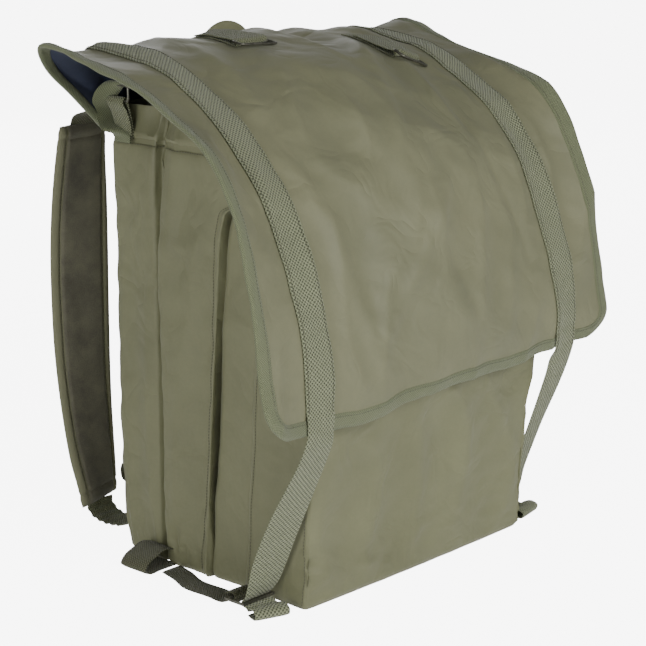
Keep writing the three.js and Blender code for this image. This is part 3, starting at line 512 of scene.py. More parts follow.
# Height over the ground, half width, back bulge, side bulge and forward lean, as shares
BAG_LEVELS = np.array([
    (0.0, 0.975, -0.4, 0.0, 0.0), (6.1, 0.995, 0.0, 0.0, 0.0), (28.2, 1.0, 0.5, 0.5, 0.0),
    (61.0, 1.0, 0.95, 0.8, 0.0), (141.0, 1.0, 1.0, 1.0, 0.0), (235.0, 1.0, 1.0, 1.0, 0.0),
    (329.0, 1.0, 1.0, 0.9, 0.0), (411.0, 1.0, 1.0, 0.7, 0.0), (426.0, 1.0, 1.0, 0.5, 0.5),
    (453.6, 1.0, 1.0, 0.3, 1.0), (465.3, 0.995, 1.0, 0.1, 0.98), (470.0, 0.98, 1.0, 0.0, 0.9),
    (476.8, 0.988, 1.0, 0.0, 0.7), (489.0, 0.97, 1.0, 0.0, 0.3), (508.0, 0.95, 0.9, 0.0, -0.1),
])


WELT_GROUND, WELT_DRIFT = 7.0, 0.076
# How far the welt turns forward under the lid, where that starts, and the height it takes
WELT_TURN, WELT_TURN_START, WELT_TURN_RISE = 8.0, 370.0, 45.0


def welt_place(height):
    """Place of the welt, which drifts forward with height and turns in under the lid."""
    turned = np.clip((height - WELT_TURN_START) / WELT_TURN_RISE, 0, 1) ** 2
    return WELT_GROUND - WELT_DRIFT * height - WELT_TURN * turned


def bag_column(column, heights):
    """One column of the bag's levels at these heights."""
    return np.interp(heights, BAG_LEVELS[:, 0], BAG_LEVELS[:, column])


print("bag", 2 * BAG_HALF, "x", BAG_DEPTH, "x", BAG_TOP, "mm")

# %% Outlines
def closed_outline(half):
    """Whole outlines from left halves that run from the back's middle to the front's."""
    right = half[:, -2:0:-1] * np.array([-1.0, 1.0])
    return np.concatenate([half, right], axis=1)


def rounded(outline, steps, passes):
    """Outline with more points, its corners rounded by averaging neighbours."""
    ahead = np.roll(outline, -1, axis=1)
    share = np.linspace(0, 1, steps, endpoint=False)[None, None, :, None]
    fine = outline[:, :, None] * (1 - share) + ahead[:, :, None] * share
    fine = fine.reshape(len(outline), -1, 2)
    for _ in range(passes):
        fine = (np.roll(fine, 1, axis=1) + 2 * fine + np.roll(fine, -1, axis=1)) / 4
    return fine


def bag_outline(heights):
    """Left half of the bag's outline at each height."""
    half, back, side, lean = (bag_column(k, heights) for k in (1, 2, 3, 4))
    wide, rear = BAG_HALF * half, BACK_PLACE + BACK_BULGE * back
    full, front = wide + SIDE_BULGE * side, welt_place(heights) - TOP_LEAN * lean
    pleat = np.maximum(PLEAT_PLACE, front + WELT_WIDTH + PLEAT_WIDTH)
    chamfer = BACK_CORNER * 0.293
    spots = [
        (0 * wide, rear), (wide / 2, rear), (wide - BACK_CORNER, rear),
        (wide - chamfer, rear - chamfer), (wide, rear - BACK_CORNER),
        (full, (rear + pleat) / 2), (full, pleat + PLEAT_WIDTH / 2),
        (full - PLEAT_DEPTH, pleat), (full + 3.0, pleat - PLEAT_WIDTH / 2),
        (full + 1, (pleat + front + WELT_WIDTH) / 2), (wide + 1, front + WELT_WIDTH),
        (wide + WELT_LIP, front + WELT_WIDTH / 2), (wide + WELT_LIP, front + 1.5),
        (wide - GUSSET_DEPTH / 2, front), (wide / 2, front), (0 * wide, front),
    ]
    return np.stack([np.stack([-x, y], -1) for x, y in spots], axis=1)


RING_STEPS = 9
BASE_LEVELS = [0.0, 1.5, 3.5, 6.0]
bag_heights = np.concatenate([BASE_LEVELS, np.arange(9.0, BAG_TOP, 3.6), [BAG_TOP]])
bag_rings = rounded(closed_outline(bag_outline(bag_heights)), RING_STEPS, 3)
print("bag rings", bag_rings.shape)

# %% The bag's folds
def lifted_rings(rings, heights):
    """Outline rings with their heights as points in space."""
    levels = np.broadcast_to(heights[:, None, None], rings.shape[:2] + (1,))
    return np.concatenate([rings, levels], axis=2)


def around(rings):
    """Distance along each ring from its first point."""
    steps = np.linalg.norm(np.roll(rings, -1, axis=1) - rings, axis=2)
    return np.cumsum(steps, axis=1) - steps


def swollen(grid, swell):
    """Rings moved outwards by a swell in millimetres."""
    outward = -grid_normals(grid, round_columns=True)
    moved = grid.copy()
    moved[..., :2] += outward[..., :2] * swell[..., None]
    return moved


def creased(u, v, size, seed):
    """Swell with sharp valleys, as stiff coated cloth folds."""
    return 0.5 - np.abs(ripple(u, v, size, seed))


def bell(value, middle, width):
    """Smooth bump of height one."""
    return np.exp(-((value - middle) / width) ** 2)


bag_grid = lifted_rings(bag_rings, bag_heights)
spread, level = around(bag_rings), bag_heights[:, None]
standing = np.clip(level / 40, 0, 1)
bag_swell = 1.2 * ripple(spread, level * 0.45, 95, 3) * standing
bag_swell += 3.6 * creased(spread, level * 0.22, 74, 17) * standing
bag_swell += 0.6 * ripple(spread, level * 0.8, 34, 5) * standing
bag_swell += 2.1 * ripple(spread, level * 0.3, 24, 7) * bell(level, 493, 16)
bag_swell += 3.4 * creased(spread, level * 0.3, 26, 9) * bell(level, 26, 24)
bag_swell -= 2.6 * bell(level, BAG_HEIGHT, 2.6)
bag_swell += 1.4 * bell(level, BAG_HEIGHT + 7, 4.0)
bag_grid = swollen(bag_grid, bag_swell)
print("bag swell, mm:", round(float(bag_swell.min()), 1), round(float(bag_swell.max()), 1))

# %% The bag as an open sack
def sack(name, grid, wall, material, node):
    """Open-topped sack from outer rings: floor, outside, rim and inside."""
    middle = grid[0].mean(axis=0)
    floor = np.stack([
        middle + (grid[0] - middle) * share for share in (0.02, 0.3, 0.6, 0.85, 0.97)])
    outward = -grid_normals(grid, round_columns=True)
    inside = grid - outward * wall
    inside[:, :, 2] = np.maximum(grid[:, :, 2], wall)
    inside = inside[::-3]
    inside_floor = np.stack([
        inside[-1].mean(axis=0) + (inside[-1] - inside[-1].mean(axis=0)) * share
        for share in (0.8, 0.4, 0.02)])
    rings = np.concatenate([floor, grid, inside, inside_floor])
    levels = np.broadcast_to(rings[:, :, 2:], rings.shape[:2] + (1,))
    places = np.concatenate([around(rings[..., :2])[..., None], levels], axis=2)
    return piece(name, round_skin(rings), material, [node], places)


main_bag = sack("main_bag_cloth", bag_grid, BAG_CLOTH, bag_nylon, "main_bag")
print("main bag", len(main_bag.data.polygons), "faces")

# %% [markdown]
# ## The front pocket
# A box of the same cloth sewn to the bag's front. Its side gusset is set back behind a sewn
# edge, and its front panel has a pressed edge at each side. Under the lid it is full; at the
# bottom the loose cloth settles in shallow folds.

# %% Front pocket
POCKET_LEVELS = np.array([
    (0.0, -0.2, 0.6, 0.975), (6.0, 0.0, 0.8, 0.995), (39.5, 0.1, 1.0, 1.0),
    (98.8, 0.25, 1.0, 1.0), (150.0, 0.4, 1.0, 1.0), (197.0, 0.65, 1.0, 1.0),
    (257.0, 1.0, 1.0, 1.0), (316.0, 0.8, 1.0, 1.0), (363.0, 0.1, 1.0, 1.0),
    (408.0, -0.5, 0.9, 0.99),
])


def pocket_outline(heights):
    """Left half of the pocket's outline at each height."""
    bulge, gusset, half = (
        np.interp(heights, POCKET_LEVELS[:, 0], POCKET_LEVELS[:, k]) for k in (1, 2, 3))
    wide = BAG_HALF * half
    deep, rear = wide - GUSSET_DEPTH * gusset, welt_place(heights) - 0.3
    seam, front = rear - GUSSET_WIDTH, -BACK_PLACE - POCKET_BULGE * bulge
    spots = [
        (0 * wide, rear), (wide / 2, rear), (deep - 2, rear), (deep, rear - 3),
        (wide - 1.0, rear - 7), (wide - 1.5, (rear + seam) / 2), (wide - 2.5, seam + 5),
        (wide + 1, seam), (wide, (seam + front) / 2), (wide + 1.5, front + 4),
        (wide - 1, front), (wide - 8, front - 1), (wide * 0.62, front - 2),
        (wide * 0.3, front - 3), (0 * wide, front - 3),
    ]
    return np.stack([np.stack([-x, y], -1) for x, y in spots], axis=1)


pocket_heights = np.concatenate([
    BASE_LEVELS, np.arange(9.0, POCKET_HEIGHT, 3.0), [POCKET_HEIGHT]])
pocket_rings = rounded(closed_outline(pocket_outline(pocket_heights)), RING_STEPS, 3)
pocket_grid = lifted_rings(pocket_rings, pocket_heights)
spread, level = around(pocket_rings), pocket_heights[:, None]
standing = np.clip(level / 30, 0, 1)
across = pocket_rings[..., 0]
front_share = np.clip(-(pocket_rings[..., 1] + 120) / 20, 0, 1)
pocket_swell = 1.8 * ripple(spread, level * 0.5, 120, 11) * standing
pocket_swell += 5.2 * creased(spread * 0.8, level * 0.45, 88, 19) * standing
pocket_swell += 0.7 * ripple(spread * 0.7, level, 38, 13) * standing
settled = bell(level, 40, 34) * front_share
pocket_swell += 2.2 * creased(spread * 0.35, level, 34, 15) * settled
pocket_swell = pocket_swell * (0.35 + 0.65 * front_share)
pocket_grid = swollen(pocket_grid, pocket_swell)
front_pocket = sack("front_pocket_cloth", pocket_grid, BAG_CLOTH, bag_nylon, "front_pocket")
print("front pocket", len(front_pocket.data.polygons), "faces")

# %% Seams of the bag and pocket
def column_row(grid, corner, low, high):
    """Line up a sack at one corner of its outline, with its outward normals."""
    outward = -grid_normals(grid, round_columns=True)
    column = corner * RING_STEPS
    rows = slice(low, high)
    return grid[rows, column] + outward[rows, column] * 0.2, outward[rows, column]


def level_row(grid, level_number, first, last):
    """Line round a sack at one level between two corners of its outline."""
    outward = -grid_normals(grid, round_columns=True)
    columns = slice(first * RING_STEPS, last * RING_STEPS)
    out = outward[level_number, columns]
    return grid[level_number, columns] + out * 0.2, out


def both_sides(grid, corner, low, high):
    """The same upright seam on the left and the right."""
    count = grid.shape[1] // RING_STEPS
    return [column_row(grid, corner, low, high), column_row(grid, count - corner, low, high)]


seam_level = int(np.searchsorted(bag_heights, BAG_HEIGHT - 6))
stitches("bag_seam_stitches", [
    *both_sides(bag_grid, 10, 3, seam_level - 2),
    level_row(bag_grid, seam_level, 4, 10),
    level_row(bag_grid, seam_level, 20, 26),
])
stitches("pocket_seam_stitches", [
    *both_sides(pocket_grid, 7, 2, 118),
    *both_sides(pocket_grid, 9, 2, 118),
])

# %% [markdown]
# ## The lid's surface
# The lid is one large cloth, sewn along the back of the neck, carried over the top and down
# the front. Its middle line runs through chosen points; between the straps the load swells it,
# and outside them its wings lift. The surface is a function of the place across and of the
# distance from the front hem, so the cloth, lining, tape, straps and stitches all follow it.

# %% The lid's surface
LID_HALF, LID_TOP, LID_DROP = 285.0, 566.0, 354.0
RIDGE_PLACE, LID_REACH = 140.0, 320.0
LID_CORNER, LID_CROWN, LID_FLARE, LID_TILT = 35.0, 24.0, 26.0, 9.0
STRAP_PLACE, WEBBING, WEBBING_THICK = 204.0, 40.0, 2.2
NECK = -0.04
# Fore, down, half width, swell, lift of the left and the right wing, tilt
LID_ROWS = np.array([
    (NECK, 0.232, 0.69, 0, 0, 0, 0), (NECK, 0.13, 0.83, 0, 0, 0, 0.2),
    (-0.031, 0.051, 0.95, 0.1, 0.1, 0.1, 0.6), (-0.003, 0.01, 1, 0.22, 0.2, 0.3, 1),
    (0.078, 0, 1, 0.25, 0.1, 0.2, 1), (0.187, 0.014, 1, 0.32, -0.1, -0.1, 1),
    (0.294, 0.035, 1, 0.48, -0.2, -0.2, 1), (0.41, 0.073, 1, 0.75, 0.1, 0.1, 0.8),
    (0.55, 0.144, 1, 0.9, 0.6, 0.6, 0.4), (0.687, 0.243, 1, 0.9, 1, 1, 0.1),
    (0.787, 0.342, 1, 0.8, 0.9, 0.9, 0), (0.869, 0.469, 1, 0.7, 0.5, 0.5, 0),
    (0.922, 0.596, 1, 0.6, 0.25, 0.25, 0), (0.962, 0.709, 1, 0.5, 0.1, 0.1, 0),
    (0.991, 0.822, 1, 0.4, 0, 0, 0), (1, 0.907, 1, 0.35, 0.1, 0, 0),
    (0.991, 1, 1, 0.3, 0.3, 0.1, 0),
])
# Dip or rise of the front hem along its length
HEM_WAVE = np.array([
    (-285, 8), (-252, 1), (-230, -2), (-186, -6), (-149, -8), (-110, -4), (-78, 3), (-54, 5),
    (-13, 5), (21, 7), (100, 3), (164, 8), (240, 10), (285, 16),
])
# Soft folds: start and end across and from the hem, width, height
LID_FOLDS = [
    (-90, 330, -40, 200, 26, -2.5), (-60, 330, -10, 190, 22, 2.5),
    (60, 560, 20, 300, 24, -3.0), (90, 570, 55, 330, 20, 2.0),
    (150, 420, 170, 330, 18, -2.5), (-150, 480, -175, 330, 20, -2.0),
    (-250, 360, -225, 180, 18, -2.5), (240, 330, 235, 150, 18, -2.0),
    (55, 235, -99, 80, 11, 3.4), (90, 450, -16, 260, 10, 2.8), (120, 300, 150, 120, 9, -2.4),
    (-170, 300, -120, 60, 12, 2.4), (10, 150, 60, 20, 10, -2.2),
]

spine = np.stack([
    np.zeros(len(LID_ROWS)), RIDGE_PLACE - LID_ROWS[:, 0] * LID_REACH,
    LID_TOP - LID_ROWS[:, 1] * LID_DROP], -1)
spine_knots = run_lengths(spine)
fine_places = np.linspace(0, spine_knots[-1], 900)
fine_lengths = run_lengths(through(spine_knots, spine, fine_places))
lid_length = float(fine_lengths[-1])
print("lid length from neck to hem, mm:", round(lid_length))


def fold_height(across, from_hem):
    """Height of the soft folds and of the cloth's loose swell."""
    total = 1.2 * ripple(across, from_hem, 110, 21) + 0.4 * ripple(across, from_hem, 42, 23)
    total = total + 3.8 * creased(across * 0.9, from_hem * 0.4, 96, 25)
    for a0, h0, a1, h1, width, height in LID_FOLDS:
        run, rise = a1 - a0, h1 - h0
        length = math.hypot(run, rise)
        along = ((across - a0) * run + (from_hem - h0) * rise) / length
        aside = ((across - a0) * rise - (from_hem - h0) * run) / length
        ends = np.clip(along / 40 + 0.5, 0, 1) * np.clip((length - along) / 40 + 0.5, 0, 1)
        total = total + height * np.exp(-(aside / width) ** 2) * ends
    return total


def lid_surface(across, from_hem):
    """Middle of the lid's cloth at these places."""
    across, from_hem = np.broadcast_arrays(np.asarray(across, float), np.asarray(from_hem, float))
    place = np.interp(lid_length - from_hem, fine_lengths, fine_places)
    half, crown, left, right, tilt = np.moveaxis(
        through(spine_knots, LID_ROWS[:, 2:], place), -1, 0)
    forward = through(spine_knots, spine, place + 1) - through(spine_knots, spine, place - 1)
    outward = unit(np.cross(forward, (1.0, 0.0, 0.0)))
    reach = np.abs(across)
    inner = np.cos(math.pi / 2 * np.minimum(reach / STRAP_PLACE, 1)) ** 2
    outer = np.maximum((reach - STRAP_PLACE) / (LID_HALF - STRAP_PLACE), 0) ** 1.6
    swell = LID_CROWN * crown * inner + LID_FLARE * np.where(across < 0, left, right) * outer
    swell = swell + fold_height(across, from_hem)
    point = through(spine_knots, spine, place) + outward * swell[..., None]
    hem = np.interp(across, HEM_WAVE[:, 0], HEM_WAVE[:, 1]) * np.exp(-from_hem / 60)
    point[..., 2] += hem - LID_TILT * tilt * across / LID_HALF
    point[..., 0] = across * half
    return point


def lid_frame(across, from_hem):
    """Point, direction to the hem, to the right and out of the cloth."""
    point = lid_surface(across, from_hem)
    across, from_hem = np.asarray(across, float), np.asarray(from_hem, float)
    ahead = unit(lid_surface(across, from_hem - 1) - lid_surface(across, from_hem + 1))
    aside = unit(lid_surface(across + 1, from_hem) - lid_surface(across - 1, from_hem))
    return point, ahead, aside, unit(np.cross(ahead, aside))


# %% [markdown]
# ## Lid cloth and lining
# The front corners are rounded, so a square grid is bent onto the rounded corner and stays
# even. The navy lining lies just under the outer cloth and shows only in the raised wing.

# %% Lid cloth and lining
def cornered(across, from_hem):
    """Places on the lid with its two front corners rounded."""
    in_side = np.maximum(1 - (LID_HALF - np.abs(across)) / LID_CORNER, 0)
    in_hem = np.maximum(1 - from_hem / LID_CORNER, 0)
    inside = (in_side > 0) & (in_hem > 0)
    wide = LID_HALF - LID_CORNER + LID_CORNER * in_side * np.sqrt(1 - in_hem ** 2 / 2)
    low = LID_CORNER - LID_CORNER * in_hem * np.sqrt(1 - in_side ** 2 / 2)
    return np.where(inside, np.sign(across) * wide, across), np.where(inside, low, from_hem)


lid_across = np.linspace(-LID_HALF + 3, LID_HALF - 3, 161)[None, :]
lid_from_hem = np.concatenate([np.linspace(lid_length, 36, 190), np.linspace(33, 3, 11)])[:, None]
lid_places = cornered(*np.broadcast_arrays(lid_across, lid_from_hem))
lid_grid = lid_surface(*lid_places)
lid_normals = grid_normals(lid_grid)
lid_flat = np.stack(lid_places, -1)


def lid_layer(name, high, low, material, node):
    """Cloth between two heights over the lid's middle surface."""
    built = shell(lid_grid + lid_normals * high, lid_grid + lid_normals * low)
    return piece(name, built, material, [node], np.concatenate([lid_flat, lid_flat]))


lid_cloth = lid_layer("lid_cloth", 1.0, -0.6, lid_nylon, "lid")
lid_lining = lid_layer("lid_lining_cloth", -1.0, -2.0, lining_nylon, "lid_lining")
print("lid", len(lid_cloth.data.polygons), "faces, front at", round(float(lid_grid[..., 1].min())))

# %% [markdown]
# ## Edge tape
# A woven tape is folded over the lid's raw edge all round and sewn through with one row. Its
# section is a flattened U: it is swept along the lid's outline on the flat cloth, and each
# point of the section is found on the lid's surface, so the tape bends with the cloth.

# %% Edge tape
TAPE = 16.0
# Distance in from the edge and height over the cloth's middle
TAPE_SECTION = np.array([
    (TAPE, 0.9), (TAPE - 0.7, 1.9), (TAPE - 3.2, 2.0), (9.5, 2.35), (4.0, 2.3), (1.2, 1.9),
    (0.0, 1.0), (-0.3, -0.3), (0.1, -1.7), (1.4, -2.6), (5.0, -3.0), (11.0, -3.0),
    (TAPE - 1, -2.7), (TAPE, -1.9),
])
side_runs = np.linspace(lid_length, LID_CORNER, 210)
corner_turns = np.linspace(0, math.pi / 2, 16)[1:-1]
hem_runs = np.linspace(LID_HALF - LID_CORNER, -LID_HALF + LID_CORNER, 150)
corner_across = LID_HALF - LID_CORNER + LID_CORNER * np.cos(corner_turns)
corner_hem = LID_CORNER - LID_CORNER * np.sin(corner_turns)
edge_across = np.concatenate([
    np.full(len(side_runs), LID_HALF), corner_across, hem_runs,
    -corner_across[::-1], np.full(len(side_runs), -LID_HALF)])
edge_hem = np.concatenate([
    side_runs, corner_hem, np.zeros(len(hem_runs)), corner_hem[::-1], side_runs[::-1]])
inward_across = np.concatenate([
    np.full(len(side_runs), -1.0), -np.cos(corner_turns), np.zeros(len(hem_runs)),
    np.cos(corner_turns[::-1]), np.full(len(side_runs), 1.0)])
inward_hem = np.sqrt(np.maximum(1 - inward_across ** 2, 0))


def edge_ring(inwards, height):
    """Line along the lid's edge at one distance in and one height over the cloth."""
    from_hem = np.maximum(edge_hem + inward_hem * inwards, 0.01)
    places = edge_across + inward_across * inwards, from_hem
    point, ahead, aside, out = lid_frame(*places)
    outside = min(inwards, 0.0)
    edge_way = aside * inward_across[:, None] - ahead * inward_hem[:, None]
    return point + out * height + edge_way * outside, out


tape_rings = np.stack([edge_ring(inwards, height)[0] for inwards, height in TAPE_SECTION], axis=1)
tape_run = run_lengths(tape_rings[:, 4])
tape_girth = np.concatenate([[0], np.cumsum(np.hypot(*np.diff(TAPE_SECTION, axis=0).T))])
tape_places = np.stack(np.broadcast_arrays(tape_girth[None, :], tape_run[:, None]), -1)
lid_tape = piece("lid_edge_tape", round_skin(tape_rings), tape_webbing,
                 ["lid_binding"], tape_places)
tape_line, tape_out = edge_ring(TAPE - 3.4, 2.0)
tape_stitches = stitches("tape_stitches", [(tape_line, tape_out)])
print("edge tape", round(float(tape_run[-1])), "mm long")

# %% [markdown]
# ## Lid straps
# Two straps are sewn flat on the lid from the rear ridge to the hem with a row of stitches
# along each edge. Below the hem each hangs free, turns a little on itself, and runs back to
# its buckle on the ground, with a short tail folded in front of it.

# %% Lid straps
HANG_ROWS = [(0.05, 0.02, 0), (0.14, 0.1, 0.1), (0.27, 0.24, 0.4), (0.49, 0.49, 0.8),
             (0.65, 0.66, 1), (0.81, 0.82, 1), (0.92, 0.92, 1)]
TAIL_ROWS = [(0.2, 0.2), (0.45, 0.34), (0.75, 0.38), (0.97, 0.26), (0.93, 0.1), (0.65, 0.05),
             (0.2, 0.05)]
TAIL_REACH, STRAP_SPREAD = 30.0, 7.0
STRAP_START = 555.0
# Turn of each hanging strap in degrees, and its share by the fall and along the tail
STRAP_TURN = {-1: -20.0, 1: 12.0}
TURN_SHARES = [0.05, 0.15, 0.4, 0.9, 1.0, 0.9, 0.4]
TAIL_SHARES = [0.3, 0.7, 1.0, 1.0, 1.0, 0.8, 0.4]
lock_low, lock_high = (np.array(corner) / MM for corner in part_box("ladder_lock_left"))
BUCKLE_BAR = 3.4
bar_y, bar_z = lock_low[1] + BUCKLE_BAR / 2, (lock_low[2] + lock_high[2]) / 2
BAR_TURN = (math.hypot(BUCKLE_BAR, 3.0) / 2 + 0.3 + WEBBING_THICK / 2) / math.cos(math.pi / 8)
STRAP_COLUMNS = 11


def bar_turn(y, z, radius, x, direction):
    """Half turn of webbing round a bar, from over it, behind it, to under it."""
    angles = np.radians([-75, -30, 15, 60, 105])
    return [(x, y + direction * radius * math.cos(a), z - radius * math.sin(a)) for a in angles]


def lid_strap(side):
    """Middle grid of one lid strap."""
    runs = np.linspace(STRAP_START, 0, 70)
    offsets = np.linspace(-WEBBING / 2, WEBBING / 2, STRAP_COLUMNS)
    point, _, _, out = lid_frame(side * STRAP_PLACE + offsets[None, :], runs[:, None])
    over_tape = np.clip((24 - runs) / 8, 0, 1)[:, None, None]
    on_lid = point + out * (2.3 + 1.5 * over_tape)
    hem = on_lid[-1, STRAP_COLUMNS // 2]
    free, twists = [], []
    turned = math.radians(STRAP_TURN[side])
    for (fall, run, out_share), share in zip(HANG_ROWS, TURN_SHARES):
        free.append((side * (STRAP_PLACE + STRAP_SPREAD * out_share),
                     hem[1] + (bar_y - hem[1]) * run, hem[2] + (bar_z - hem[2]) * fall))
        twists.append(turned * share)
    x = side * (STRAP_PLACE + STRAP_SPREAD)
    free += bar_turn(bar_y, bar_z, BAR_TURN, x, 1)
    free += [(x + math.sin(turned) * fore * TAIL_REACH,
              bar_y - BAR_TURN - math.cos(turned) * fore * TAIL_REACH, up * TAIL_REACH)
             for fore, up in TAIL_ROWS]
    twists += [0.0] * 5 + [turned * share for share in TAIL_SHARES]
    across = np.array([(math.cos(turn), math.sin(turn), 0.0) for turn in twists])
    hanging = np.array(free)[:, None] + across[:, None] * offsets[None, :, None]
    return finer(np.concatenate([on_lid, hanging]), 2.5)


def edge_stitch_rows(grid, inset, until, lift=WEBBING_THICK / 2):
    """Rows of stitches near both edges of a band, down to one of its rows."""
    normals = grid_normals(grid)
    width = float(np.linalg.norm(grid[0, -1] - grid[0, 0]))
    rows = []
    for share in (inset / width, 1 - inset / width):
        spot = share * (grid.shape[1] - 1)
        k, part = int(spot), spot - int(spot)
        line = grid[:until, k] * (1 - part) + grid[:until, k + 1] * part
        rows.append((line + normals[:until, k] * lift, normals[:until, k]))
    return rows


SIDES = {"left": -1, "right": 1}
for word, side in SIDES.items():
    strap = lid_strap(side)
    band(f"lid_strap_{word}_webbing", strap, WEBBING_THICK, strap_webbing, [f"lid_strap_{word}"])
    sewn = int(STRAP_START / 2.5)
    stitches(f"lid_strap_{word}_stitches", edge_stitch_rows(strap, 3.0, sewn))
    print("lid strap", word, round(float(run_lengths(strap[:, 5])[-1])), "mm")

# %% [markdown]
# ## Base straps and buckles
# From the bag's corner a short strap runs on the ground to the buckle and folds round its
# rear bar. The buckles are punched steel plates, so their solids are kept and only get a
# rounded edge and the phosphated finish.

# %% Base straps and buckles
BASE_STRAP_ROWS = [(0.12, 0.0), (0.3, 0.0), (0.6, 0.0), (0.8, 0.6), (1.0, 1.0)]
BASE_STRAP_END, BASE_WEBBING = 53.0, 28.0
FLOOR_LIFT = 0.3 + WEBBING_THICK / 2

for word, side in SIDES.items():
    x = side * (STRAP_PLACE + STRAP_SPREAD)
    rear = lock_high[1] - BUCKLE_BAR / 2
    seam = side * (BAG_HALF - 1.5 + BASE_WEBBING / 2)
    path = [(x, rear + 3 * BAR_TURN, bar_z), *bar_turn(rear, bar_z, BAR_TURN, x, -1)]
    path += [(x + (seam - x) * aside, rear + (BASE_STRAP_END - rear) * run, FLOOR_LIFT)
             for run, aside in BASE_STRAP_ROWS]
    base = strip(path, (1, 0, 0), BASE_WEBBING)
    band(f"base_strap_{word}_webbing", base, WEBBING_THICK, shaded_twill_webbing, [f"base_strap_{word}"])
    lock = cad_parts[f"ladder_lock_{word}"]
    lock.data.materials.clear()
    lock.data.materials.append(steel)
    soften = lock.modifiers.new("rounded_edges", "BEVEL")
    soften.width, soften.segments = 0.0006, 2
    print("base strap", word, len(base), "rows")

# %% [markdown]
# ## Top tabs and wire links
# Two folded tabs are sewn on top of the lid and hold wire links for more gear. Each tab goes
# under the link's bar, over it and back; the links are 3 mm wire bent to a rounded rectangle.

# %% Wire links
WIRE = 3.0


def wire_ring(name, centre, wide, long, width, length, node):
    """Round wire bent to a rounded rectangle in the plane of two directions."""
    wide, long = unit(np.asarray(wide, float)), unit(np.asarray(long, float))
    depth = np.cross(wide, long)
    rings = []
    for a, b, first in ((1, 1, 0), (-1, 1, 90), (-1, -1, 180), (1, -1, 270)):
        for more in range(0, 91, 15):
            turn = math.radians(first + more)
            outward = wide * math.cos(turn) + long * math.sin(turn)
            middle = (np.asarray(centre) + wide * a * (width / 2 - WIRE)
                      + long * b * (length / 2 - WIRE) + outward * WIRE)
            spins = np.linspace(0, 2 * math.pi, 12, endpoint=False)[:, None]
            rings.append(middle + (outward * np.cos(spins) + depth * np.sin(spins)) * WIRE / 2)
    return piece(name, round_skin(np.array(rings)[:, ::-1], joined=True), steel, [node])


# %% Top tabs
TAB_WIDTH, TAB_LENGTH = 45.0, 78.0
LINK_WIDTH, LINK_LENGTH = 54.0, 15.0
WIRE_TURN = (WIRE / 2 + 0.3 + WEBBING_THICK / 2) / math.cos(math.pi / 8)
TAB_FLOOR = 1.0 + 0.5 + WEBBING_THICK / 2
TABS = {"left": (-62.0, 455.0), "right": (128.0, 395.0)}


def top_tab(across, from_hem):
    """Middle grid of a tab folded round its link."""
    offsets = across + np.linspace(-TAB_WIDTH / 2, TAB_WIDTH / 2, 11)
    bar = TAB_FLOOR + WIRE_TURN
    rows = [(share, TAB_FLOOR, 0.0) for share in (1, 0.75, 0.5, 0.25, 0.06, 0)]
    rows += [(0, bar + WIRE_TURN * math.sin(a), WIRE_TURN * math.cos(a))
             for a in np.radians([-60, -30, 0, 30, 60])]
    rows += [(share, max(TAB_FLOOR + WEBBING_THICK + 0.3, bar + WIRE_TURN * (1 - 3 * share)), 0.0)
             for share in (0, 0.12, 0.3, 0.55, 0.8)]
    grid = []
    for share, height, out_share in rows:
        point, ahead, _, out = lid_frame(offsets, from_hem + share * TAB_LENGTH)
        grid.append(point + out * height + ahead * out_share)
    return finer(np.array(grid), 2.0)


for word, (across_place, from_hem_place) in TABS.items():
    tab = top_tab(across_place, from_hem_place)
    band(f"top_tab_{word}_webbing", tab, WEBBING_THICK, twill_webbing, [f"top_tab_{word}"])
    point, ahead, aside, out = lid_frame(across_place, from_hem_place)
    middle = point + out * (TAB_FLOOR + WIRE_TURN) + ahead * LINK_LENGTH / 2
    wire_ring(f"tab_link_{word}_wire", middle, aside, ahead, LINK_WIDTH, LINK_LENGTH,
              f"tab_link_{word}")
    print("top tab", word, np.round(point).tolist())

# %% [markdown]
# ## Carry handle
# A padded band of the same nylon stands up behind the lid's neck. It is a strip bent on edge:
# its rows follow the arch and its width points from the arch's middle.

# %% Carry handle
HANDLE_HALF, HANDLE_BAND, HANDLE_TOP, HANDLE_FOOT, HANDLE_THICK = 48.0, 24.0, 582.0, 500.0, 7.0
NECK_PLACE = RIDGE_PLACE - NECK * LID_REACH
handle_y = NECK_PLACE + 1.0 + 0.3 + HANDLE_THICK / 2
arch_radius, arch_middle = HANDLE_HALF - HANDLE_BAND / 2, HANDLE_TOP - HANDLE_HALF
handle_path, handle_across = [], []
for height in (HANDLE_FOOT, (HANDLE_FOOT + arch_middle) / 2):
    handle_path.append((-arch_radius, handle_y, height))
    handle_across.append((-1, 0, 0))
for turn in np.linspace(math.pi, 0, 13):
    rise = arch_radius * math.sin(turn)
    handle_path.append((arch_radius * math.cos(turn), handle_y, arch_middle + rise))
    handle_across.append((math.cos(turn), 0, math.sin(turn)))
for height in ((HANDLE_FOOT + arch_middle) / 2, HANDLE_FOOT):
    handle_path.append((arch_radius, handle_y, height))
    handle_across.append((1, 0, 0))
handle_grid = strip(handle_path, handle_across, HANDLE_BAND, 2.0, 15)
handle_share = np.abs(np.linspace(-1, 1, 15))
handle_half = HANDLE_THICK / 2 * np.sqrt(np.maximum(1 - handle_share ** 4, 0.06))
handle_lift = grid_normals(handle_grid) * handle_half[None, :, None]
handle_places = flat_places(handle_grid)
handle = piece("carry_handle_band", shell(handle_grid + handle_lift, handle_grid - handle_lift),
               bag_nylon, ["carry_handle"], np.concatenate([handle_places] * 2))
print("carry handle", len(handle_grid), "rows")

# %% [markdown]
# ## Shoulder pads
# Each pad is felt between two cloths, sewn through along both long edges, so it swells
# between the seams and its rims stand up as rolls. The loft gives its hang behind the back
# panel; the swell between the seams is a function of the place across.

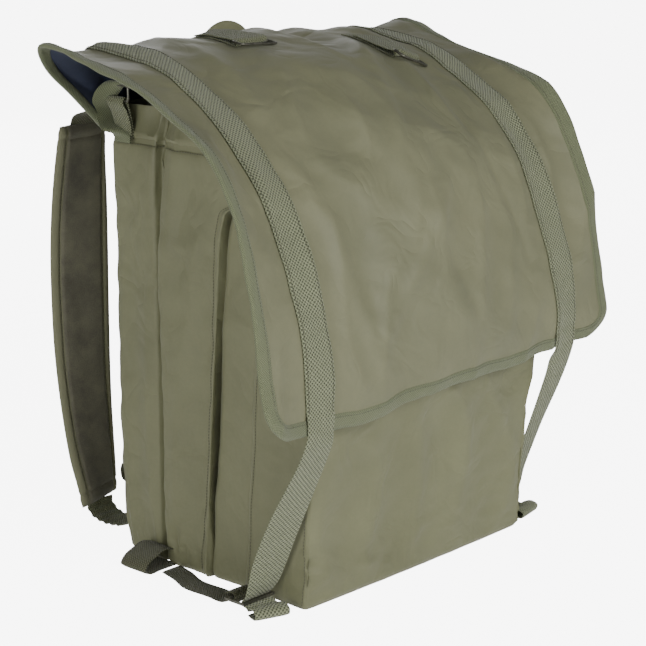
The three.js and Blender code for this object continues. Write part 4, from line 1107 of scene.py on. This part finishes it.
# %% Shoulder pads
PAD_PLACE, PAD_WIDTH, PAD_THICK, PAD_REACH = 150.0, 76.0, 13.0, 100.0
PAD_FOOT, PAD_HEAD = 32.0, 473.0
BACK_FACE = BACK_PLACE + BACK_BULGE
PAD_ROWS = np.array([
    (0, 0.74, 18), (0.03, 0.76, 17), (0.13, 0.85, 8), (0.27, 0.93, 0), (0.4, 0.97, -6),
    (0.54, 0.98, -9), (0.68, 0.97, -9), (0.81, 0.94, -4), (0.94, 0.89, 5), (1, 0.85, 8)])
PAD_COLUMNS = 41
SEAM_INSET = 10.0


def shoulder_pad(side):
    """Upper and lower grids of one pad, and its middle grid."""
    heights = PAD_FOOT + (PAD_HEAD - PAD_FOOT) * PAD_ROWS[:, 0]
    path = np.stack([np.full(len(heights), side * PAD_PLACE),
                     BACK_FACE + PAD_ROWS[:, 1] * PAD_REACH, heights], -1)
    turns = np.radians(-side * PAD_ROWS[:, 2])
    across = np.stack([np.cos(turns), np.sin(turns), 0 * turns], -1)
    grid = strip(path, across, PAD_WIDTH, 3.0, PAD_COLUMNS)
    place = np.linspace(-PAD_WIDTH / 2, PAD_WIDTH / 2, PAD_COLUMNS)[None, :]
    along = run_lengths(grid[:, PAD_COLUMNS // 2])[:, None]
    from_end = np.minimum(along, along[-1] - along)
    swell = np.sqrt(np.maximum(1 - np.abs(place / (PAD_WIDTH / 2)) ** 5, 0.02))
    swell = swell * np.sqrt(np.clip(from_end / 7, 0.12, 1))
    seam = np.exp(-((np.abs(place) - (PAD_WIDTH / 2 - SEAM_INSET)) / 1.8) ** 2)
    seam = np.maximum(seam, np.exp(-((from_end - 14) / 1.8) ** 2))
    pucker = 0.06 * np.sin(along * 2 * math.pi / 8) * np.exp(-((np.abs(place) - 27) / 7) ** 2)
    half = PAD_THICK / 2 * swell * (1 - 0.42 * seam + pucker)
    half = half + 0.35 * ripple(place + 0 * along, along * 0.6, 40, 31 + side) * swell
    lift = grid_normals(grid) * half[..., None]
    return grid + lift, grid - lift, grid


for word, side in SIDES.items():
    upper, lower, grid = shoulder_pad(side)
    places = np.concatenate([flat_places(grid)] * 2)
    pad = piece(f"shoulder_pad_{word}_cloth", shell(upper, lower), pad_cloth,
                [f"shoulder_pad_{word}"], places)
    rows = []
    for face in (upper, lower):
        normals = unit(face - grid)
        for column in (5, PAD_COLUMNS - 6):
            rows.append((face[6:-6, column], normals[6:-6, column]))
        rows.append((face[5, 6:-6], normals[5, 6:-6]))
    stitches(f"shoulder_pad_{word}_stitches", rows)
    print("shoulder pad", word, len(grid), "rows")

# %% [markdown]
# ## Shoulder webbing
# Webbing leaves the head of each pad, arches over and is sewn down on the back panel; the
# lower strap comes from the pad's foot and dips under to the bag's lower edge.

# %% Shoulder webbing
UPPER_ROWS = [(0.8, 0.09), (0.68, 0.15), (0.5, 0.17), (0.28, 0.1), (0.09, -0.06)]
LOWER_ROWS = [(0.73, -0.08), (0.66, -0.14), (0.5, -0.18), (0.3, -0.17), (0.12, -0.13)]
UPPER_SEWN, LOWER_SEWN = (-0.17, -0.33), (-0.03, 0.1)
UPPER_START, LOWER_START = 0.84, 0.74
PAD_WEBBING = 38.0
GAP = 0.3
LAY = GAP + WEBBING_THICK / 2


def back_at(height):
    """Place of the back panel at a height."""
    return BACK_PLACE + BACK_BULGE * float(bag_column(2, height))


def pad_webbing(rows, sewn, end, out_share, side):
    """Path from one end of a pad to the back panel."""
    path = [(side * PAD_PLACE, BACK_FACE + out_share * PAD_REACH, end)]
    path += [(side * PAD_PLACE, BACK_FACE + out * PAD_REACH, end + up * PAD_REACH)
             for out, up in rows]
    path += [(side * PAD_PLACE, back_at(end + up * PAD_REACH) + LAY, end + up * PAD_REACH)
             for up in sewn]
    return path


BUNCH_HEIGHT, BUNCH_PITCH, BUNCH_FADE, SEWN_RUN = 1.1, 11.0, 12.0, 30.0


def bunched(grid):
    """Webbing pushed into small waves between its two sewn ends."""
    run = run_lengths(grid[:, 4])[:, None]
    free = np.clip(run / BUNCH_FADE, 0, 1)
    free = free * np.clip((run[-1] - SEWN_RUN - run) / BUNCH_FADE, 0, 1)
    waves = BUNCH_HEIGHT * np.sin(run * 2 * math.pi / BUNCH_PITCH) * free
    return grid + grid_normals(grid) * waves[..., None]


for word, side in SIDES.items():
    upper_path = pad_webbing(UPPER_ROWS, UPPER_SEWN, PAD_HEAD, UPPER_START, side)
    lower_path = pad_webbing(LOWER_ROWS, LOWER_SEWN, PAD_FOOT, LOWER_START, side)
    upper = strip(upper_path, (1, 0, 0), PAD_WEBBING)
    lower = bunched(strip(lower_path, (1, 0, 0), PAD_WEBBING))
    band(f"shoulder_upper_{word}_webbing", upper, WEBBING_THICK, shaded_twill_webbing,
         [f"shoulder_upper_strap_{word}"])
    band(f"shoulder_lower_{word}_webbing", lower, WEBBING_THICK, twill_webbing,
         [f"shoulder_lower_strap_{word}"])
    print("shoulder webbing", word, len(upper), len(lower), "rows")

# %% [markdown]
# ## Corner tabs, slides and loops
# At each upper back corner a tab is sewn to the bag's side, folds through the lower bar of a
# wire slide, and a loop hangs from the upper bar. Lower down sit a small keeper and, on the
# ground, a ribbed loop.

# %% Corner tabs and loops
CORNER_PLACE, SLIDE_HEIGHT, SLIDE_OUT = 127.0, 52.0, 10.0
SLIDE_WIDTH, SLIDE_LENGTH = 36.0, 16.0
SEAT_HEIGHT = 476.8
CORNER_WEBBING, LOOP_REACH = 26.0, 26.0
TAB_ROWS = [(0.04, 0.0), (0.25, 0.02), (0.6, 0.5)]
LOOP_ROWS = [(0.85, 0.88), (1.0, 0.6), (0.82, 0.36), (0.42, 0.2)]
LOOP_SEWN = (0.1, -0.04)
# Swing of the loop towards the back, in degrees, and its share row by row
LOOP_SWING = 78.0
SWING_SHARES = np.array([0, 0, 0, 0.1, 0.3, 0.7, 1.0, 1.0, 0.6, 0, 0])


def side_at(height):
    """Half width of the bag's side at a height."""
    return BAG_HALF * float(bag_column(1, height)) + SIDE_BULGE * float(bag_column(3, height))


def slide_turn(height, angles):
    """Webbing round one bar of the slide: out from the middle and height."""
    return [(BAG_HALF + SLIDE_OUT + WIRE_TURN * math.cos(a),
             BAG_HEIGHT + height + WIRE_TURN * math.sin(a)) for a in np.radians(angles)]


def corner_tab_path():
    """Out and height of the tab, up its outer layer, round the bar and down its inner one."""
    seat = side_at(SEAT_HEIGHT) + LAY
    outer, inner = seat + WEBBING_THICK + GAP, seat
    bar = BAG_HALF + SLIDE_OUT
    up = [(outer + (bar + WIRE_TURN - outer) * lean, BAG_HEIGHT + rise * SLIDE_HEIGHT)
          for rise, lean in TAB_ROWS]
    down = [(inner + (bar - WIRE_TURN - inner) * lean, BAG_HEIGHT + rise * SLIDE_HEIGHT)
            for rise, lean in TAB_ROWS[::-1]]
    return up + slide_turn(SLIDE_HEIGHT - SLIDE_LENGTH / 2, [0, 45, 90, 135, 180]) + down


def corner_loop_path():
    """Out and height of the loop from the slide's upper bar to the bag's side."""
    path = slide_turn(SLIDE_HEIGHT + SLIDE_LENGTH / 2, [180, 135, 90, 45, 0])
    path += [(BAG_HALF + out * LOOP_REACH, BAG_HEIGHT + up * SLIDE_HEIGHT) for out, up in LOOP_ROWS]
    seat = side_at(SEAT_HEIGHT) + LAY + 2 * (WEBBING_THICK + GAP)
    return path + [(seat, BAG_HEIGHT + up * SLIDE_HEIGHT) for up in LOOP_SEWN]


def side_path(path, side, y):
    """Points of an out-and-height path on one side of the bag."""
    return [(side * out, y, height) for out, height in path]


def swung_loop(side):
    """Path of the loop with its belly swung rearwards, and its width's direction."""
    swing = np.radians(LOOP_SWING) * SWING_SHARES
    hung = np.array(corner_loop_path())
    stand = np.maximum(hung[:, 0] - hung[-1, 0], 0)
    path = np.stack([side * (hung[:, 0] - stand * (1 - np.cos(swing))),
                     CORNER_PLACE + stand * np.sin(swing), hung[:, 1]], -1)
    return path, np.stack([np.sin(swing), side * np.cos(swing), 0 * swing], -1)


for word, side in SIDES.items():
    tab_path = side_path(corner_tab_path(), side, CORNER_PLACE)
    tab = strip(tab_path, (0, -side, 0), CORNER_WEBBING, 1.5)
    loop = strip(*swung_loop(side), CORNER_WEBBING, 1.5)
    band(f"corner_tab_{word}_webbing", tab, WEBBING_THICK, twill_webbing, [f"corner_tab_{word}"])
    band(f"corner_loop_{word}_webbing", loop, WEBBING_THICK, tape_webbing, [f"corner_loop_{word}"])
    wire_ring(f"wire_slide_{word}_wire",
              (side * (BAG_HALF + SLIDE_OUT), CORNER_PLACE, BAG_HEIGHT + SLIDE_HEIGHT),
              (0, 1, 0), (0, 0, 1), SLIDE_WIDTH, SLIDE_LENGTH, f"wire_slide_{word}")
    print("corner", word, len(tab), len(loop), "rows")

# %% Base loops and keepers
BASE_LOOP_ROWS = [(0, 0.84), (0.25, 0.96), (0.6, 0.8), (0.92, 0.5), (1, 0.25), (0.9, 0.09),
                  (0.5, 0.067), (0, 0.067)]
BASE_LOOP_HEIGHT, BASE_LOOP_REACH, BASE_LOOP_PLACE = 24.0, 46.0, 79.0
BASE_LOOP_CLEAR = 1.6
KEEPER_HEIGHT, KEEPER_LENGTH, KEEPER_REACH, KEEPER_PLACE = 86.0, 22.0, 9.0, 160.0
KEEPER_ROWS = [(0, 0.5), (0.6, 0.45), (1, 0.09), (0.7, -0.4), (0, -0.5)]


def base_loop_path():
    """Out and height of the loop on the ground."""
    path = []
    for out, up in BASE_LOOP_ROWS:
        height = up * BASE_LOOP_HEIGHT
        end = side_at(height + WEBBING_THICK / 2) + BASE_LOOP_CLEAR
        path.append((end + (BAG_HALF + BASE_LOOP_REACH - end) * out, height))
    return path


def keeper_path(side):
    """Path of the keeper, bowed out from the back panel."""
    heights = [KEEPER_HEIGHT + up * KEEPER_LENGTH for _, up in KEEPER_ROWS]
    return [(side * KEEPER_PLACE, back_at(height) + 2 * GAP + out * KEEPER_REACH, height)
            for (out, _), height in zip(KEEPER_ROWS, heights)]


for word, side in SIDES.items():
    loop_path = side_path(base_loop_path(), side, BASE_LOOP_PLACE)
    loop = strip(loop_path, (0, -side, 0), WEBBING, 2.0)
    band(f"base_loop_{word}_webbing", loop, WEBBING_THICK, shaded_twill_webbing, [f"base_loop_{word}"])
    keeper = strip(keeper_path(side), (-1, 0, 0), CORNER_WEBBING, 1.5)
    band(f"side_keeper_{word}_webbing", keeper, WEBBING_THICK, shaded_twill_webbing,
         [f"side_keeper_{word}"])
    print("base loop and keeper", word, len(loop), len(keeper), "rows")

# %% [markdown]
# ## Cloth facts
# The lid is a free-hanging sheet.

# %% [markdown]
# ## Floor and light
# A pale floor and a plain surround, both shown white to the camera and dimmer to the pack, so
# that their glow doesn't wash out its colour. The main light is large and near the camera, to
# its right, so the front is bright, the side a little darker and the top darker still. A weak
# light behind keeps the shoulder straps readable from the back.

# %% Floor and light
floor_mesh = bpy.data.meshes.new("floor")
floor_mesh.from_pydata([(-9, -9, 0), (9, -9, 0), (9, 9, 0), (-9, 9, 0)], [], [(0, 1, 2, 3)])
floor = bpy.data.objects.new("floor", floor_mesh)
bpy.context.scene.collection.objects.link(floor)
paper, tree, output = blank_material("pale_floor_paper")
grain = add(tree, "ShaderNodeTexNoise", {"Scale": per_metre(3), "Detail": 3.0})
paper_tint = add(tree, "ShaderNodeMixRGB", {
    "Fac": grain.outputs["Fac"], "Color1": linear("#f4f4f2"), "Color2": linear("#fafaf8")})
paper_skin = add(tree, "ShaderNodeBsdfPrincipled", {
    "Base Color": paper_tint.outputs["Color"], "Roughness": 0.9, "Specular IOR Level": 0.1,
    "Emission Color": linear("#ffffff"), "Emission Strength": 0.3})
seen = add(tree, "ShaderNodeLightPath").outputs["Is Camera Ray"]
glare = add(tree, "ShaderNodeMath", {0: seen, 1: 7.0}, operation="MULTIPLY")
lit = add(tree, "ShaderNodeEmission", {"Color": linear("#ffffff"), "Strength": glare.outputs[0]})
bright = add(tree, "ShaderNodeAddShader", {0: paper_skin.outputs[0], 1: lit.outputs[0]})
tree.links.new(bright.outputs[0], output.inputs["Surface"])
floor_mesh.materials.append(paper)

world = bpy.data.worlds.new("studio")
world.use_nodes = True
tree = world.node_tree
tree.nodes.clear()
way = add(tree, "ShaderNodeTexCoord").outputs["Generated"]
parts = add(tree, "ShaderNodeSeparateXYZ", {0: way})
sky = add(tree, "ShaderNodeMapRange", {
    "Value": parts.outputs["Z"], "From Min": 0.0, "From Max": 0.5, "To Min": 0.3, "To Max": 0.08})
room = add(tree, "ShaderNodeBackground", {
    "Color": linear("#ffffff"), "Strength": sky.outputs["Result"]})
paper_wall = add(tree, "ShaderNodeBackground", {"Color": linear("#ffffff"), "Strength": 9.0})
seen = add(tree, "ShaderNodeLightPath").outputs["Is Camera Ray"]
both = add(tree, "ShaderNodeMixShader", {0: seen, 1: room.outputs[0], 2: paper_wall.outputs[0]})
add(tree, "ShaderNodeOutputWorld", {"Surface": both.outputs[0]})
bpy.context.scene.world = world


def studio_light(name, place, size, power):
    """Large square light that looks at the pack."""
    lamp = bpy.data.lights.new(name, "AREA")
    lamp.size, lamp.energy = size, power
    made = bpy.data.objects.new(name, lamp)
    made.location = place
    way = Vector((0.0, 0.0, 0.28)) - made.location
    made.rotation_euler = way.to_track_quat("-Z", "Y").to_euler()
    bpy.context.scene.collection.objects.link(made)
    return made


studio_light("key_light", (-0.3, -2.7, 1.5), 1.5, 60)
studio_light("fill_light", (-2.9, -0.5, 0.8), 1.3, 33)
studio_light("back_light", (1.6, 2.6, 1.3), 1.6, 26)
print("lights set")
